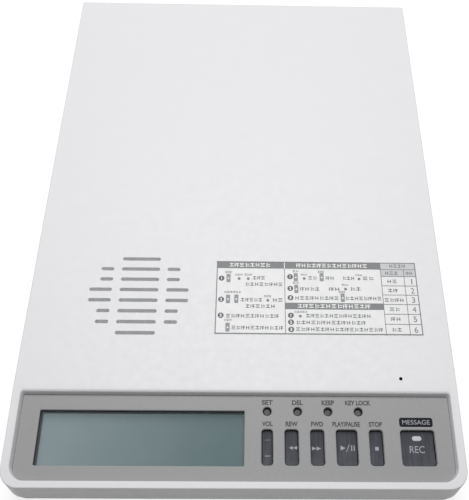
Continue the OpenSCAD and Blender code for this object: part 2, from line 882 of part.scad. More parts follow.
module bottom_case() {
    color("#dfdfe1") difference() {
        union() {
            plate(plan(base_inset), foot_h, floor_z);
            difference() {
                union() {
                    plate(plan(base_inset), foot_h, seam_h);
                    plate(plan(wall + lip_clear), foot_h, seam_h + lip_h);
                }
                plate(plan(lip_in), floor_z, tall);
            }
            at_case_screws() translate([0, 0, foot_h]) cylinder(h = case_post_z - foot_h, r = case_tube_r);
            for (p = standoffs)
                translate([p.x, p.y, foot_h]) cylinder(h = main_z0 - foot_h, r = standoff_r);
        }
        at_feet() translate([0, 0, foot_h - over]) cylinder(h = foot_sink + over, r = foot_r);
        at_case_screws() {
            translate([0, 0, foot_h - over]) cylinder(h = tall, r = screw_r + screw_clear);
            translate([0, 0, foot_h - over])
                cylinder(h = case_seat_z - foot_h + over, r = screw_head_r + head_clear);
        }
        for (p = standoffs)
            translate([p.x, p.y, main_z1 - board_screw_len - head_clear])
                cylinder(h = tall, r = screw_r + screw_clear);
    }
}

module rubber_feet() {
    color("#2b2b2d") at_feet() cylinder(h = foot_h + foot_sink, r = foot_r);
}

// Screw with its head seat at the origin and its shank along Z; the head has a cross recess
module screw(len, r, head_r, head_h) {
    bit = head_r * 0.28;
    difference() {
        union() {
            cylinder(h = len, r = r);
            translate([0, 0, -head_h]) cylinder(h = head_h, r = head_r);
        }
        for (a = [0, 90])
            rotate(a) translate([-head_r * 0.6, -bit / 2, -head_h - over])
                cube([head_r * 1.2, bit, head_h * 0.5 + over]);
    }
}

module case_screws() {
    color("#b9bbc0") at_case_screws() translate([0, 0, case_seat_z])
        screw(case_screw_len, screw_r, screw_head_r, case_head_h);
}

module rating_plate() {
    color("#f4f4f2") translate([0, 0, foot_h - plate_t])
        linear_extrude(height = plate_t)
            polygon(round_box([-plate_w / 2, 0], [plate_w / 2, plate_len], plate_corner_r, plate_corner_r));
}

module guide_label() {
    color("#f4f4f4") on_top() plate(
        round_box(
            [label_x0, label_run], [label_x0 + label_w, label_run + label_len], label_corner_r, label_corner_r
        ),
        0, label_t
    );
}

module control_panel() {
    color("#9b9b9b") on_panel() difference() {
        plate(sheet_outline(0), web_top, sheet_top);
        plate(lcd_outline(0), web_top - over, sheet_top + over);
        key_openings(web_top - over, sheet_top + over);
    }
}

module display_window() {
    color([0.8, 0.85, 0.85, 0.3]) on_panel() plate(lcd_outline(window_lap), web_top - window_t, web_top);
}

module lcd_glass() {
    color("#7d9191") on_panel() plate(lcd_outline(glass_lap), glass_bottom, glass_top);
}

module lcd_holder() {
    color("#34373b") on_panel() difference() {
        block(
            [lcd_x0 - glass_lap, lcd_front - holder_lap, board_top],
            [lcd_x1 + glass_lap, lcd_rear + holder_lap, web_bottom]
        );
        plate(lcd_outline(0), board_top - over, web_bottom + over);
        plate(lcd_outline(glass_lap + glass_clear), board_top - over, glass_top);
    }
}

module lcd_backlight() {
    color("#f2f2ee") on_panel() block(
        [lcd_x0 - glass_lap, lcd_front - glass_lap + strip_w + strip_gap, board_top],
        [lcd_x1 + glass_lap, lcd_rear + glass_lap, glass_bottom]
    );
}

module lcd_contact_strip() {
    color("#d9a3a0") on_panel() block(
        [lcd_x0, lcd_front - glass_lap, board_top],
        [lcd_x1, lcd_front - glass_lap + strip_w, glass_bottom]
    );
}

// Finger dish that runs along the whole row of keys
module key_dish() {
    rise = sqrt(key_dish_r * key_dish_r - key_len * key_len / 4);
    translate([0, key_mid_v, key_top + rise]) rotate([0, 90, 0])
        cylinder(h = 2 * body_w, r = key_dish_r, center = true, $fn = 360);
}

// Push key: a dished cap in its opening, a flange below the case and a post above the switch
module push_key(i, post_v) {
    difference() {
        union() {
            plate(key_outline(i, key_clear, key_clear), flange_bottom, key_top);
            plate(key_outline(i, -flange_lap, -flange_lap), flange_bottom, flange_top);
            translate([key_x(i), post_v, press_level])
                cylinder(h = flange_bottom - press_level + flange_t / 2, r = plunger_r);
        }
        key_dish();
    }
}

// Block under the rocker's cap, from a level up into the cap
module rocker_leg(v, bottom) {
    block(
        [key_x(ROCKER) - rocker_foot / 2, v - rocker_foot / 2, bottom],
        [key_x(ROCKER) + rocker_foot / 2, v + rocker_foot / 2, cap_bottom + cap_lap]
    );
}

module volume_rocker() {
    color("#4b4d53") on_panel() difference() {
        union() {
            plate(key_outline(ROCKER, key_clear, rocker_end_clear), cap_bottom, key_top);
            translate([key_x(ROCKER), key_mid_v, trunnion_w]) rotate([0, 90, 0]) {
                cylinder(h = rocker_w - 3 * key_clear, r = trunnion_r + hub_wall, center = true);
                cylinder(h = rocker_w + 2 * trunnion_len, r = trunnion_r, center = true);
            }
            rocker_leg(key_mid_v, trunnion_w);
            for (side = [-1, 1]) rocker_leg(key_mid_v + side * rocker_switch_dv, rocker_foot_bottom);
        }
        key_dish();
    }
}

module dark_key(i) {
    color("#4b4d53") on_panel() push_key(i, key_mid_v);
}

module rewind_key() dark_key(REWIND);
module forward_key() dark_key(FORWARD);
module play_key() dark_key(PLAY);
module stop_key() dark_key(STOP);

module record_key() {
    color("#4b4d53") on_panel() difference() {
        push_key(RECORD, record_switch_v);
        translate([key_x(RECORD), lamp_v, 0])
            plate(stadium(lamp_w + 2 * lamp_fit, lamp_len + 2 * lamp_fit), flange_bottom - over, over);
    }
}

// Lamp window: a light pipe with a foot below the key's flange
module record_lens() {
    color("#d6dce0") on_panel() translate([key_x(RECORD), lamp_v, 0]) {
        plate(stadium(lamp_w, lamp_len), flange_bottom - lamp_foot, key_top - lamp_fit);
        plate(
            stadium(lamp_w + 2 * lamp_foot, lamp_len + 2 * lamp_foot),
            flange_bottom - lamp_foot, flange_bottom
        );
    }
}

// Round button: the long plunger of its own switch
module round_button(i) {
    color("#3b3d42") on_panel() translate([button_x(i), button_row, switch_top - plunger_sunk])
        cylinder(h = sheet_top - button_drop - switch_top + plunger_sunk, r = button_r);
}

module register_button() round_button(0);
module erase_button() round_button(1);
module mark_button() round_button(2);
module lock_button() round_button(3);

// Plunger between a switch and the post of its key
module plunger(x, v) {
    color("#1f1f21") on_panel() translate([x, v, switch_top - plunger_sunk])
        cylinder(h = press_level - switch_top + plunger_sunk, r = plunger_r);
}

module rewind_plunger() plunger(key_x(REWIND), key_mid_v);
module forward_plunger() plunger(key_x(FORWARD), key_mid_v);
module play_plunger() plunger(key_x(PLAY), key_mid_v);
module stop_plunger() plunger(key_x(STOP), key_mid_v);
module record_plunger() plunger(key_x(RECORD), record_switch_v);

module rocker_plungers() {
    for (side = [-1, 1])
        plunger(key_x(ROCKER), key_mid_v + side * rocker_switch_dv);
}

module switch_bodies() {
    color("#6f7378") on_panel() for (p = switch_spots)
        difference() {
            block([p.x - switch_w / 2, p.y - switch_w / 2, board_top],
                  [p.x + switch_w / 2, p.y + switch_w / 2, switch_top]);
            translate([p.x, p.y, switch_top - plunger_sunk - key_travel - plunger_spare])
                cylinder(h = switch_h, r = p.z + plunger_clear);
        }
}

module key_board() {
    color("#2f6b45") on_panel() difference() {
        plate(
            round_box(
                [-key_board_half, key_board_v0], [key_board_half, key_board_v1],
                recess_corner_r, board_corner_r
            ),
            board_bottom, board_top
        );
        for (p = key_posts)
            translate([p.x, p.y, board_bottom - over])
                cylinder(h = pcb_t + 2 * over, r = key_screw_r + hole_clear);
    }
}

module key_board_screws() {
    color("#b9bbc0") on_panel() for (p = key_posts)
        translate([p.x, p.y, board_bottom])
            screw(key_screw_len, key_screw_r, key_screw_head_r, key_screw_head_h);
}

module record_led() {
    color("#c8483f") on_panel() translate([key_x(RECORD), lamp_v, board_top]) {
        translate([-lamp_w / 2, -led_w / 2, 0]) cube([lamp_w, led_w, led_w]);
        cylinder(h = switch_h - led_drop, r = led_r);
    }
}

module speaker_cloth() {
    color("#8d8f92") on_top() translate([-speaker_x, speaker_run, cloth_bottom])
        cylinder(h = cloth_t, r = speaker_r + cloth_lap);
}

module speaker_gasket() {
    color("#3a3a3c") on_top() translate([-speaker_x, speaker_run, gasket_bottom]) difference() {
        cylinder(h = gasket_t, r = speaker_r);
        translate([0, 0, -over]) cylinder(h = gasket_t + 2 * over, r = speaker_r - gasket_w);
    }
}

// Pressed basket: a flat flange, a conical wall and a ring that the magnet is fixed to
module speaker_frame() {
    color("#a4a6aa") on_top() translate([-speaker_x, speaker_run, 0]) rotate_extrude() polygon([
        [speaker_r - speaker_land, speaker_flange_bottom],
        [speaker_r - speaker_land, gasket_bottom],
        [speaker_r, gasket_bottom],
        [speaker_r, speaker_flange_bottom],
        [speaker_r - speaker_land + basket_t, speaker_flange_bottom],
        [magnet_r + basket_t, basket_bottom + basket_t],
        [magnet_r, basket_bottom],
        [coil_r + coil_t + coil_gap, basket_bottom],
        [coil_r + coil_t + coil_gap, basket_bottom + basket_t],
        [magnet_r - basket_t, basket_bottom + basket_t],
    ]);
}

// Paper cone with its surround, dust cap and voice coil
module speaker_cone() {
    rim = speaker_r - gasket_w - key_clear;
    surround = speaker_r - speaker_land - surround_w;
    neck = speaker_flange_bottom - cone_depth;
    coil_end = basket_bottom - coil_dip;
    color("#55504a") on_top() translate([-speaker_x, speaker_run, 0]) rotate_extrude() polygon([
        [0, neck + cap_h + cone_t],
        [cap_r, neck + cap_h],
        [coil_r, neck + cone_t],
        [surround, gasket_bottom + cone_t],
        [rim, gasket_bottom + cone_t],
        [rim, gasket_bottom],
        [surround, gasket_bottom],
        [coil_r + coil_t, neck],
        [coil_r + coil_t, coil_end],
        [coil_r, coil_end],
        [coil_r, neck],
        [cap_r, neck + cap_h - cone_t],
        [0, neck + cap_h],
    ]);
}

module speaker_magnet() {
    color("#4a4b4e") on_top() translate([-speaker_x, speaker_run, magnet_bottom]) difference() {
        cylinder(h = magnet_h, r = magnet_r);
        translate([0, 0, magnet_h - coil_slot]) difference() {
            cylinder(h = coil_slot + over, r = coil_r + coil_t + coil_gap);
            cylinder(h = coil_slot + over, r = coil_r - coil_gap);
        }
    }
}

module speaker_screws() {
    color("#b9bbc0") on_top() at_speaker_posts() translate([0, 0, speaker_flange_bottom])
        screw(speaker_screw_len, speaker_screw_r, speaker_screw_head_r, speaker_screw_head_h);
}

module mic_boot() {
    color("#2b2b2d") on_top() translate([mic_mid, mic_run, boot_bottom]) difference() {
        cylinder(h = -wall - boot_bottom, r = boot_r);
        translate([0, 0, -over]) cylinder(h = -wall - boot_bottom + 2 * over, d = mic_hole_d);
        translate([0, 0, -over]) cylinder(h = -wall - boot_top_t - boot_bottom + over, r = mic_r);
    }
}

module mic_capsule() {
    color("#b0b2b5") on_top() translate([mic_mid, mic_run, boot_bottom])
        cylinder(h = -wall - boot_top_t - boot_bottom, r = mic_r);
}

module main_board() {
    color("#2f6b45") difference() {
        plate([
            [-main_half, main_front], [main_half, main_front],
            [main_half, main_shoulder], [main_tab_half, main_shoulder],
            [main_tab_half, main_rear], [-main_tab_half, main_rear],
            [-main_tab_half, main_shoulder], [-main_half, main_shoulder],
        ], main_z0, main_z1);
        for (p = standoffs) translate([p.x, p.y, 0]) cylinder(h = tall, r = screw_r + hole_clear);
    }
}

module board_screws() {
    color("#b9bbc0") for (p = standoffs)
        translate([p.x, p.y, main_z1]) rotate([180, 0, 0])
            screw(board_screw_len, screw_r, screw_head_r, board_head_h);
}

module board_chips() {
    color("#26272a") for (c = chips)
        translate([c[0] - c[2] / 2, rear_y - c[1] - c[3] / 2, main_z1]) cube([c[2], c[3], c[4]]);
}

module board_capacitors() {
    color("#2c3a63") for (c = capacitors)
        translate([c[0], rear_y - c[1], main_z1]) cylinder(h = c[3], r = c[2]);
}

// Plug of a cable, wider than the cable by a wall at each side
module main_plug(x, w) {
    block([x - w / 2 - plug_wall, main_plug_y, main_z1],
          [x + w / 2 + plug_wall, main_plug_y + plug_d, main_z1 + plug_h]);
}

module board_connectors() {
    color("#ece9dc") {
        main_plug(ribbon_x, ribbon_w);
        main_plug(-speaker_x, lead_w);
        main_plug(mic_mid, lead_w);
        on_panel() block(
            [ribbon_x - ribbon_w / 2 - plug_wall, key_plug_v - key_plug_d / 2, board_bottom - key_plug_h],
            [ribbon_x + ribbon_w / 2 + plug_wall, key_plug_rear, board_bottom]
        );
    }
}

module ribbon_cable() {
    color("#d8d8d8") side_solid(strip(ribbon_route, ribbon_t), ribbon_x, ribbon_w);
}

module speaker_lead() {
    color("#8f2f2f") side_solid(strip(speaker_route, lead_t), -speaker_x, lead_w);
}

module mic_lead() {
    color("#3c3c40") side_solid(strip(mic_route, lead_t), mic_mid, lead_w);
}

module line_transformer() {
    color("#8a7a4a") translate([transformer_x, transformer_y, main_z1]) {
        translate([-core_size.x / 2, -core_size.y / 2, 0]) cube(core_size);
        translate([-coil_size.x / 2, -coil_size.y / 2, coil_lift]) cube(coil_size);
    }
}

module line_relay() {
    color("#e8e4d6") translate([relay_x - relay_size.x / 2, relay_y - relay_size.y / 2, main_z1])
        cube(relay_size);
}

module cell_holder() {
    color("#1f1f21") translate([cell_x, cell_y, main_z1]) difference() {
        cylinder(h = cell_lift + cell_wall_h, r = cell_r + cell_wall);
        translate([0, 0, cell_lift]) cylinder(h = cell_h + over, r = cell_r + cell_clear);
        translate([0, -2 * cell_r, cell_lift]) cube([cell_gate, 4 * cell_r, cell_h + over]);
    }
}

module coin_cell() {
    color("#c9cbce") translate([cell_x, cell_y, main_z1 + cell_lift]) cylinder(h = cell_h, r = cell_r);
}

// Modular sockets, each open at its face, with a notch for the latch of the plug
module modular_jacks() {
    color("#2a2b2e") for (x = jack_xs) difference() {
        block([x - jack_w / 2, jack_face - jack_d, main_z1], [x + jack_w / 2, jack_face, main_z1 + jack_h]);
        block([x - jack_hole_w / 2, jack_face - jack_hole_d, jack_hole_z],
              [x + jack_hole_w / 2, jack_face + over, jack_hole_z + jack_hole_h]);
        block([x - latch_w / 2, jack_face - jack_hole_d, jack_hole_z - latch_h],
              [x + latch_w / 2, jack_face + over, jack_hole_z + over]);
    }
}

module jack_contacts() {
    color("#c9a24a") for (x = jack_xs) for (i = [-1.5:1.5])
        translate([
            x + i * contact_pitch - contact_w / 2,
            jack_face - jack_hole_d,
            jack_hole_z + jack_hole_h - contact_w,
        ])
            cube([contact_w, jack_hole_d - contact_in, contact_w]);
}

// Audio socket, set behind the rear wall, whose hole takes the sleeve of the plug
module audio_jack() {
    color("#232427") difference() {
        block([audio_x - audio_w / 2, audio_y0, main_z1],
              [audio_x + audio_w / 2, audio_face, main_z1 + audio_h]);
        translate([audio_x, audio_face + over, audio_z]) rotate([90, 0, 0])
            cylinder(h = audio_bore_len + over, r = audio_bore_r);
    }
}

module power_jack() {
    color("#232427") {
        difference() {
            block([power_x - power_w / 2, jack_face - power_d, main_z1],
                  [power_x + power_w / 2, jack_face, main_z1 + power_h]);
            translate([power_x, jack_face + over, power_z]) rotate([90, 0, 0])
                cylinder(h = power_hole_d + over, r = power_hole_r);
        }
        translate([power_x, jack_face - power_pin_in, power_z]) rotate([90, 0, 0])
            cylinder(h = power_hole_d, r = power_pin_r);
    }
}

module card_socket() {
    color("#a9abae") difference() {
        block([socket_x0, card_y - card_w / 2 - socket_wall, main_z1],
              [main_half, card_y + card_w / 2 + socket_wall, card_z1 + card_clear + socket_skin]);
        block([socket_x0 + socket_back_t, card_y - card_w / 2 - card_clear, card_z0 - card_clear],
              [main_half + over, card_y + card_w / 2 + card_clear, card_z1 + card_clear]);
    }
}

// Memory card with one cut corner at its inner end
module memory_card() {
    x0 = card_end_x - card_len;
    color("#2d4f8a") plate([
        [x0 + card_cut, card_y - card_w / 2], [card_end_x, card_y - card_w / 2],
        [card_end_x, card_y + card_w / 2], [x0, card_y + card_w / 2],
        [x0, card_y - card_w / 2 + card_cut],
    ], card_z0, card_z1);
}

top_case();
bottom_case();
rubber_feet();
case_screws();
rating_plate();
guide_label();
control_panel();
display_window();
lcd_glass();
lcd_holder();
lcd_backlight();
lcd_contact_strip();
volume_rocker();
rewind_key();
forward_key();
play_key();
stop_key();
record_key();
record_lens();
register_button();
erase_button();
mark_button();
lock_button();
rewind_plunger();
forward_plunger();
play_plunger();
stop_plunger();
record_plunger();
rocker_plungers();
switch_bodies();
key_board();
key_board_screws();
record_led();
speaker_cloth();
speaker_gasket();
speaker_frame();
speaker_cone();
speaker_magnet();
speaker_screws();
mic_boot();
mic_capsule();
main_board();
board_screws();
board_chips();
board_capacitors();
board_connectors();
ribbon_cable();
speaker_lead();
mic_lead();
line_transformer();
line_relay();
cell_holder();
coin_cell();
modular_jacks();
jack_contacts();
audio_jack();
power_jack();
card_socket();
memory_card();
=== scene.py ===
import json
import math

import bpy
from mathutils import Matrix, Vector

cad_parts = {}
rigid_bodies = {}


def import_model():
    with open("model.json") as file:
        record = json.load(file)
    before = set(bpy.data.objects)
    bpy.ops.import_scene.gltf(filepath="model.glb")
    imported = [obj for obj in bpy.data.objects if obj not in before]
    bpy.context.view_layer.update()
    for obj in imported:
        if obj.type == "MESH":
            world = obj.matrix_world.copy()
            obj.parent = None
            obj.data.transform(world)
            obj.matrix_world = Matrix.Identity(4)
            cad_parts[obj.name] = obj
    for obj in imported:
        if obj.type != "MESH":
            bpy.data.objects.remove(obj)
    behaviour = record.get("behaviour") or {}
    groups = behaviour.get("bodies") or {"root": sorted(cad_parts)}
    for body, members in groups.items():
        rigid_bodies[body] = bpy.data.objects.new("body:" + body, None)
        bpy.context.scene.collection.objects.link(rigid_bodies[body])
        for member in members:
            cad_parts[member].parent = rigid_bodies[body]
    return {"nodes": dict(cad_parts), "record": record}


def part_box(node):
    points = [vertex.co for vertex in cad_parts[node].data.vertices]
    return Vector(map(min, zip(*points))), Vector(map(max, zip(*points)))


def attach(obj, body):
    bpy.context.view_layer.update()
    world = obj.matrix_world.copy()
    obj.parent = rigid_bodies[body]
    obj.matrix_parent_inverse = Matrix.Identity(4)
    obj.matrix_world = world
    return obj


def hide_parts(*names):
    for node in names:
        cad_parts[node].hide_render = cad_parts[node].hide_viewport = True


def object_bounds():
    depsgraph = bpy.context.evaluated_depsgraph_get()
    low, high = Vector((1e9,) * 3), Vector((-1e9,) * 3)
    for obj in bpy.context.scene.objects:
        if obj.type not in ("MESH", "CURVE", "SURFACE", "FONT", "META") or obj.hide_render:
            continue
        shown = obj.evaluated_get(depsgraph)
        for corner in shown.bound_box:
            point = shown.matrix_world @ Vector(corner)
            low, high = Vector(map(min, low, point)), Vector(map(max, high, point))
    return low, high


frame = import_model()
cad_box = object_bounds()

# A millimetre in metres, then a hair's breadth for tests of place and how far a cutter overreaches
MM = 0.001
HAIR = 0.01
OVER = 1.0
UP = Vector((0, 0, 1))

# Sizes of the case, with its width and depth from the frame, and height of the block it is cut from
HALF_W = round(cad_box[1][0] / MM, 2)
HALF_D = round(cad_box[1][1] / MM, 2)
FRONT_H = 18.0
SEAM = 6.4
WALL = 2.2
CREASE_V = 38.85
TALL = 60.0

# Roundings of the case, first its upright corners and then its edges
FRONT_CORNER = 7.0
REAR_CORNER = 1.0
REAR_EDGE = 0.8
FRONT_EDGE = 0.4
SIDE_EDGE = 0.4
SEAM_EDGE = 0.3

# How far from the rim of the panel and from the rear an edge still belongs to them
RIM_REACH = 0.5
REAR_REACH = 0.1

# Upward part of a normal that tells a top, a crease, a side and the wall of an opening
TOP_TILT = 0.9
CREASE_TILT = 0.8
SIDE_TILT = 0.1
WALL_TILT = 0.2

# Slopes of the panel and of the top plate, and the frame of each face
PANEL_SLOPE = math.radians(7)
TOP_SLOPE = math.radians(4)
CASE = Matrix.Identity(4)
PANEL = Matrix.Translation((0, -HALF_D, FRONT_H)) @ Matrix.Rotation(PANEL_SLOPE, 4, "X")
CREASE = Matrix.Translation(PANEL @ Vector((0, CREASE_V, 0)))
TOP = CREASE @ Matrix.Rotation(TOP_SLOPE, 4, "X")

# The sunken panel, measured in its own frame
RECESS_X = 81.85
RECESS_V = (2.65, 35.7)
RECESS_MID = sum(RECESS_V) / 2
RECESS_R = 5.5
RECESS_REAR_R = 0.9
RECESS_RISE = 0.8
RECESS_EDGE = 0.3
RECESS_REAR_EDGE = 1.0
SIDE_LEAN = 0.55
REAR_LEAN = 0.8
SHEET_TOP = -2.1
SHEET_GAP = 0.02
SHEET_EDGE = 0.4
WEB_TOP = -3.1
WEB_BOTTOM = -4.7
# How far inside the rim and how far below the web the walls of the openings are painted dark, as
# painted shade
SHADE_PAINT_IN = 2.0
SHADE_PAINT_BELOW = 0.1
LCD_X = (-73.9, 3.1)
LCD_V = (8.45, 28.85)
LCD_MARGIN = 1.5

# The keys and the round buttons, from the left, and their sizes in the frame of the panel
KEYS = ("rewind", "forward", "play", "stop", "record")
BUTTONS = ("register", "erase", "mark", "lock")
KEY_V = (8.75, 22.0)
KEY_GAP = 0.14
KEY_TOP = -3.6
KEY_FOOT = -5.8
KEY_R = 1.2
FLANGE = 0.8
DISH_R = 45.0
ROCKER_W = 4.18
HOLE_R = 1.625
BUTTON_V = 28.82
BUTTON_TOP = -3.6

# Slots of the grille and the microphone's hole, in the frame of the top plate
GRILLE_X = -40.8
GRILLE_T = 37.9
SLOT_PITCH = 4.83
SLOT_W = 1.3
SLOT_MID = 15.7
SLOT_GAP = 3.35
SLOT_DRAFT = 0.42
SLOT_SIDES = (0, 5.15, 5.15, 9.05, 9.05, 5.15, 5.15, 0)
SLOT_LIP_FOOT = -0.3
MIC = (63.5, 2.5)
MIC_R = 0.7

# Steps of a slot's lip from the foot up: how far each rises and grows
SLOT_LIP = ((0.18, 0.05), (0.1, 0.12), (0.12, 0.34))

# Room about a socket or the card in its wall, and the hole in front of the audio socket
SOCKET_GAP = 0.3
SLEEVE_R = 4.5

# The printed guide, in the frame of the top plate
LABEL_X = (-9.15, 74.4)
LABEL_T = (20.85, 54.1)
LABEL_H = 0.12
LABEL_R = 0.8
LABEL_EDGE = 0.04

# Angle up to which faces are shaded as one surface, and what the mesh operators select
SMOOTH_ANGLE = math.radians(35)
EDGES = (False, True, False)
FACES = (False, False, True)


def only(piece):
    """Makes a piece the one that the next operator works on."""
    bpy.ops.object.select_all(action="DESELECT")
    piece.select_set(True)
    bpy.context.view_layer.objects.active = piece


def slab(x, y, z):
    """A block from its range on each axis."""
    bpy.ops.object.select_all(action="DESELECT")
    low, high = Vector((x[0], y[0], z[0])), Vector((x[1], y[1], z[1]))
    bpy.ops.mesh.primitive_cube_add(size=1)
    piece = bpy.context.object
    size = Matrix.Diagonal((*(high - low), 1))
    piece.data.transform(Matrix.Translation((low + high) / 2) @ size)
    return piece


def drum(x, y, radius, z, sides=64):
    """An upright cylinder at a place, from its range in height."""
    bpy.ops.object.select_all(action="DESELECT")
    bpy.ops.mesh.primitive_cylinder_add(vertices=sides, radius=radius, depth=z[1] - z[0])
    piece = bpy.context.object
    piece.data.transform(Matrix.Translation((x, y, (z[0] + z[1]) / 2)))
    return piece


def outline(points, z):
    """A thin plate from the corners of its outline."""
    bpy.ops.object.select_all(action="DESELECT")
    bpy.ops.mesh.primitive_circle_add(vertices=len(points), radius=1, fill_type="NGON")
    piece = bpy.context.object
    for vertex, point in zip(piece.data.vertices, points):
        vertex.co = (point[0], point[1], z[0])
    bpy.ops.object.mode_set(mode="EDIT")
    bpy.ops.mesh.select_all(action="SELECT")
    bpy.ops.mesh.extrude_region_move(TRANSFORM_OT_translate={"value": (0, 0, z[1] - z[0])})
    bpy.ops.mesh.select_all(action="SELECT")
    bpy.ops.mesh.normals_make_consistent(inside=False)
    bpy.ops.object.mode_set(mode="OBJECT")
    return piece


def twin(piece, move=CASE):
    """A copy of a piece with a mesh of its own."""
    other = piece.copy()
    other.data = piece.data.copy()
    other.data.transform(move)
    bpy.context.collection.objects.link(other)
    return other


def join(pieces):
    """Makes one piece of several."""
    bpy.ops.object.select_all(action="DESELECT")
    for piece in pieces:
        piece.select_set(True)
    bpy.context.view_layer.objects.active = pieces[0]
    if len(pieces) > 1:
        bpy.ops.object.join()
    return pieces[0]


def edit_all(piece):
    """Opens a mesh for editing with all of it selected."""
    only(piece)
    bpy.ops.object.mode_set(mode="EDIT")
    bpy.ops.mesh.select_all(action="SELECT")


def unselect(piece, kind):
    """Leaves a mesh with nothing selected, ready for edges or faces to be picked."""
    only(piece)
    bpy.context.tool_settings.mesh_select_mode = kind
    bpy.ops.object.mode_set(mode="EDIT")
    bpy.ops.mesh.select_all(action="DESELECT")
    bpy.ops.object.mode_set(mode="OBJECT")


def round_edges(piece, radius, steps, test):
    """Rounds the edges whose two ends pass a test."""
    unselect(piece, EDGES)
    points = piece.data.vertices
    for edge in piece.data.edges:
        edge.select = test(*(points[i].co for i in edge.vertices))
    bpy.ops.object.mode_set(mode="EDIT")
    bpy.ops.mesh.bevel(offset=radius, segments=steps, affect="EDGES", clamp_overlap=False)
    bpy.ops.object.mode_set(mode="OBJECT")


def share(value, start, end):
    """How far a value lies from a start to an end, from 0 to 1."""
    return min(1, max(0, (value - start) / (end - start)))


def grown(pair, gap):
    """A range made wider at both ends."""
    return pair[0] - gap, pair[1] + gap


def upright(a, b):
    """True for an edge along Z."""
    return abs(a.x - b.x) + abs(a.y - b.y) < 1e-4


def front_corner(a, b):
    """True for an upright edge at the front of the case."""
    return upright(a, b) and a.y < FRONT_CORNER - HALF_D


def recess_front(a, b):
    """True for an upright edge in the front half of the panel."""
    return upright(a, b) and a.y < RECESS_MID


def tilts_of(piece):
    """Upward tilts of the faces beside each edge, by the edge's two points."""
    tilts = {}
    for face in piece.data.polygons:
        for key in face.edge_keys:
            tilts.setdefault(key, []).append(face.normal.z)
    return tilts


def slice_by(piece, point, normal, keep_below=True):
    """Cuts a mesh by a plane, and keeps what lies below it, closed, or both sides."""
    edit_all(piece)
    bpy.ops.mesh.bisect(
        plane_co=point, plane_no=normal, use_fill=keep_below, clear_outer=keep_below)
    bpy.ops.object.mode_set(mode="OBJECT")


def modify(piece, kind, **settings):
    """Gives a piece a modifier with its settings, and applies it."""
    only(piece)
    bpy.ops.object.modifier_add(type=kind)
    step = piece.modifiers[-1]
    for key, value in settings.items():
        setattr(step, key, value)
    bpy.ops.object.modifier_apply(modifier=step.name)


def combine(piece, other, operation="DIFFERENCE"):
    """Cuts another solid out of a piece, or adds it, and drops the other."""
    modify(piece, "BOOLEAN", operation=operation, solver="EXACT", object=other)
    bpy.data.objects.remove(other)


def cut_on(piece, cutter, face):
    """Cuts a solid that was made in the frame of a face out of a piece."""
    cutter.data.transform(face)
    combine(piece, cutter)


def soften(piece, width, steps, angle):
    """Rounds every edge sharper than an angle in degrees."""
    limit = math.radians(angle)
    modify(piece, "BEVEL", width=width, segments=steps, limit_method="ANGLE", angle_limit=limit)


def weld(piece, reach=0.001):
    """Joins points that all but touch and turns every face outwards."""
    edit_all(piece)
    bpy.ops.mesh.remove_doubles(threshold=reach)
    bpy.ops.mesh.normals_make_consistent(inside=False)
    bpy.ops.object.mode_set(mode="OBJECT")


def finish(piece, name, body, finishes, stands_for=()):
    """Brings a piece to metres, smooths it, paints it and sets it on its body."""
    piece.name = piece.data.name = name
    weld(piece)
    piece.data.transform(Matrix.Scale(MM, 4))
    only(piece)
    bpy.ops.object.shade_smooth_by_angle(angle=SMOOTH_ANGLE)
    modify(piece, "WEIGHTED_NORMAL", keep_sharp=True)
    for item in finishes:
        piece.data.materials.append(item)
    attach(piece, body)
    if stands_for:
        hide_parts(*stands_for)


# Finishes
def srgb(*levels):
    """Linear colour of screen levels from 0 to 255."""
    parts = [c / 255 for c in levels]
    linear = (p / 12.92 if p <= 0.04045 else ((p + 0.055) / 1.055) ** 2.4 for p in parts)
    return tuple(linear) + (1,)


# Span of a noise's values that is put to use, and length of a wave texture's wave at a scale of 1
NOISE_SPAN = (0.3, 0.7)
WAVE_LENGTH = 0.314


